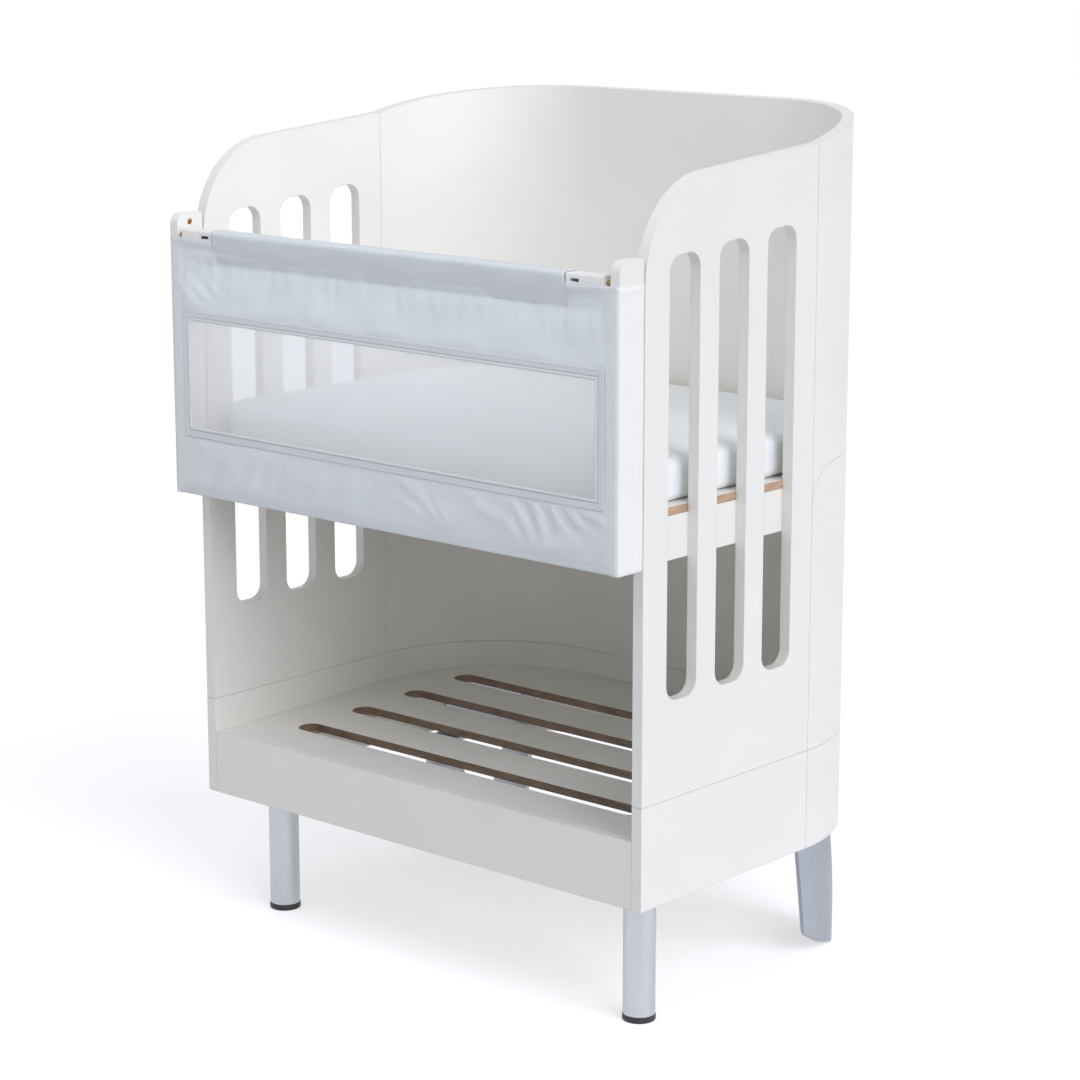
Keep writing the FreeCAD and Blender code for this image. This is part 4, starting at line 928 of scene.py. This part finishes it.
# %% Mattress: rings
def ring_plan(inset, points_per_corner=16, side_points=(60, 34)):
    """Rounded rectangle with small front and large back corners, inset evenly."""
    x = 401.0 - inset
    y0, y1 = 9.0 + inset, 592.0 - inset
    front_radius, back_radius = max(34.0 - inset, 8.0), max(205.0 - inset, 30.0)
    radii = [front_radius, front_radius, back_radius, back_radius]
    corners = [(-x, y0, 180), (x, y0, 270), (x, y1, 0), (-x, y1, 90)]
    arcs = []
    for (cx, cy, start), r in zip(corners, radii):
        t = np.radians(np.linspace(start, start + 90, points_per_corner))
        middle = np.array([cx - math.copysign(r, cx), cy + (r if cy == y0 else -r)])
        arcs.append(middle + r * np.stack([np.cos(t), np.sin(t)], 1))
    loop = []
    for i, arc in enumerate(arcs):
        after = arcs[(i + 1) % 4][0]
        run = np.linspace(0, 1, side_points[i % 2] + 2)[1:-1, None]
        loop += [arc, arc[-1] + (after - arc[-1]) * run]
    return np.vstack(loop)


half_turn = np.radians(np.linspace(0, 90, 8))
lower = [(7 * (1 - math.sin(t)), 12 * (1 - math.cos(t))) for t in half_turn]
side = [(0.0, 12 + 8.0 * k) for k in range(1, 4)]
upper = [(15 * (1 - math.cos(t)), 44 + 15 * math.sin(t)) for t in half_turn]
crown = [(15 + k * 26.0, 59 + 3.4 * math.sin(math.radians(90 * k / 6))) for k in range(1, 7)]
floor = [(inset, 0.0) for inset in (150, 110, 70, 40, 20)]
stack = floor + lower + side + upper + crown
BED_Z = 547.5 + 0.5
around = len(ring_plan(0))
rings = np.stack([np.column_stack([ring_plan(i), np.full(around, BED_Z + z)]) for i, z in stack])
print("mattress rings", rings.shape)

# %% Mattress: mesh
faces = grid_faces(rings.shape[0], rings.shape[1], ring=True)[:, ::-1]
mattress = mesh_piece("mattress_pad", place(rings), faces, "mattress", bed_weave)
count = rings.shape[1]
mesh = mattress.data
bm = bmesh.new()
bm.from_mesh(mesh)
bm.verts.ensure_lookup_table()
bm.faces.new([bm.verts[i] for i in range(count)])
bm.faces.new([bm.verts[len(bm.verts) - 1 - i] for i in range(count)])
bmesh.ops.recalc_face_normals(bm, faces=bm.faces)
bm.to_mesh(mesh)
bm.free()
print("mattress faces", len(mesh.polygons))

# %% Mattress: swell by simulation
def swell(obj, voxel, pressure, cap, floor_z, frames=20):
    """Voxel remesh, pressure cloth for a few frames, then a cap on how far a point moved."""
    remesh = obj.modifiers.new("remesh", "REMESH")
    remesh.mode = "VOXEL"
    remesh.voxel_size = voxel
    with bpy.context.temp_override(object=obj, active_object=obj):
        bpy.ops.object.modifier_apply(modifier=remesh.name)
    rest = np.zeros(len(obj.data.vertices) * 3, np.float32)
    obj.data.vertices.foreach_get("co", rest)
    cloth = obj.modifiers.new("fill", "CLOTH")
    cloth.settings.use_pressure = True
    cloth.settings.uniform_pressure_force = pressure
    cloth.settings.effector_weights.gravity = 0
    cloth.settings.quality = 5
    scene = bpy.context.scene
    for frame_number in range(1, frames + 1):
        scene.frame_set(frame_number)
    dressed_mesh = obj.evaluated_get(bpy.context.evaluated_depsgraph_get()).data
    moved = np.zeros(len(rest), np.float32)
    dressed_mesh.vertices.foreach_get("co", moved)
    step = (moved - rest).reshape(-1, 3)
    far = np.linalg.norm(step, axis=1, keepdims=True)
    step *= np.minimum(1, cap / np.maximum(far, 1e-9))
    place_now = rest.reshape(-1, 3) + step
    place_now[:, 2] = np.maximum(place_now[:, 2], floor_z)
    obj.modifiers.remove(cloth)
    obj.data.vertices.foreach_set("co", place_now.ravel().astype(np.float32))
    obj.data.update()
    scene.frame_set(1)
    return float(far.max())


board_top = (BED_Z + 195.0) * 0.001
most = swell(mattress, voxel=0.008, pressure=4.0, cap=0.004, floor_z=board_top)
mattress.data.polygons.foreach_set("use_smooth", np.ones(len(mattress.data.polygons), bool))
print("mattress moved at most", round(most * 1000, 1), "mm before the cap")
rounding = mattress.modifiers.new("rounding", "SUBSURF")
rounding.levels = rounding.render_levels = 1
print("mattress vertices", len(mattress.data.vertices))

# %% [markdown]
# ## Brass bushes
# The spare bore near each post's top is lined with a brass insert. It is a profile of place
# and radius turned round the bore's axis: a thin lip on the face, the wall, and a closed end.

# %% Bushes in the post bores
BORE_Y, BORE_Z = -26.0, 877.0


def bush(sign):
    """Profile (x, r) turned about X: r cos a and r sin a are added to Y and Z."""
    profile = np.array([(422.4, 0.05), (422.4, 3.2), (414.2, 3.3), (413.9, 3.5),
                        (413.9, 4.1), (414.3, 4.3), (422.8, 4.3), (422.8, 0.05)])
    a = np.linspace(0, 2 * np.pi, 32, endpoint=False)
    points = np.zeros((len(profile), len(a), 3))
    points[..., 0] = sign * profile[:, :1]
    points[..., 1] = BORE_Y + profile[:, 1:] * np.cos(a)
    points[..., 2] = BORE_Z + profile[:, 1:] * np.sin(a)
    faces = grid_faces(*points.shape[:2], ring=True)
    side = "right" if sign > 0 else "left"
    return mesh_piece(f"post_bush_{side}", place(points), faces if sign > 0 else faces[:, ::-1], "guard",
                      brass)


bushes = [bush(sign) for sign in (-1, 1)]
print("bushes", [obj.name for obj in bushes])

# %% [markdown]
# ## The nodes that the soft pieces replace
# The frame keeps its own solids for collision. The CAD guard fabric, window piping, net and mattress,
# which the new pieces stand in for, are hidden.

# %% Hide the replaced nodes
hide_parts("guard_fabric")
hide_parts("guard_fabric")
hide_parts("window_piping")
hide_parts("mesh_window")
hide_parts("mattress")

# %% [markdown]
# ## Floor
# A wide pale floor carries the shadow. Its material adds a little light of its own, for
# camera, glossy and transmission rays only. That lifts it to white round the crib, lights
# nothing else, and leaves the shadow in place.

# %% Floor
size = 14.0
floor_points = np.array([[-size, -size, 0], [size, -size, 0], [size, size, 0], [-size, size, 0]], float)
floor_mesh = bpy.data.meshes.new("floor")
floor_mesh.from_pydata(floor_points.tolist(), [], [[0, 1, 2, 3]])
floor_obj = bpy.data.objects.new("floor", floor_mesh)
bpy.context.scene.collection.objects.link(floor_obj)
floor_finish = Finish("floor", (0.86, 0.86, 0.86), 0.9, Specular_IOR_Level=0.0)
to_camera, to_glossy, to_glass = [floor_finish.node("ShaderNodeLightPath", output=f"Is {kind} Ray")
                                  for kind in ("Camera", "Glossy", "Transmission")]
seen_directly = to_camera.largest(to_glossy).largest(to_glass)
floor_finish.shader.inputs["Emission Color"].default_value = (1, 1, 1, 1)
glow = 0.50 * seen_directly
floor_finish.tree.links.new(glow.socket, floor_finish.shader.inputs["Emission Strength"])
floor_mesh.materials.append(floor_finish.material)
print("floor", size * 2, "m")
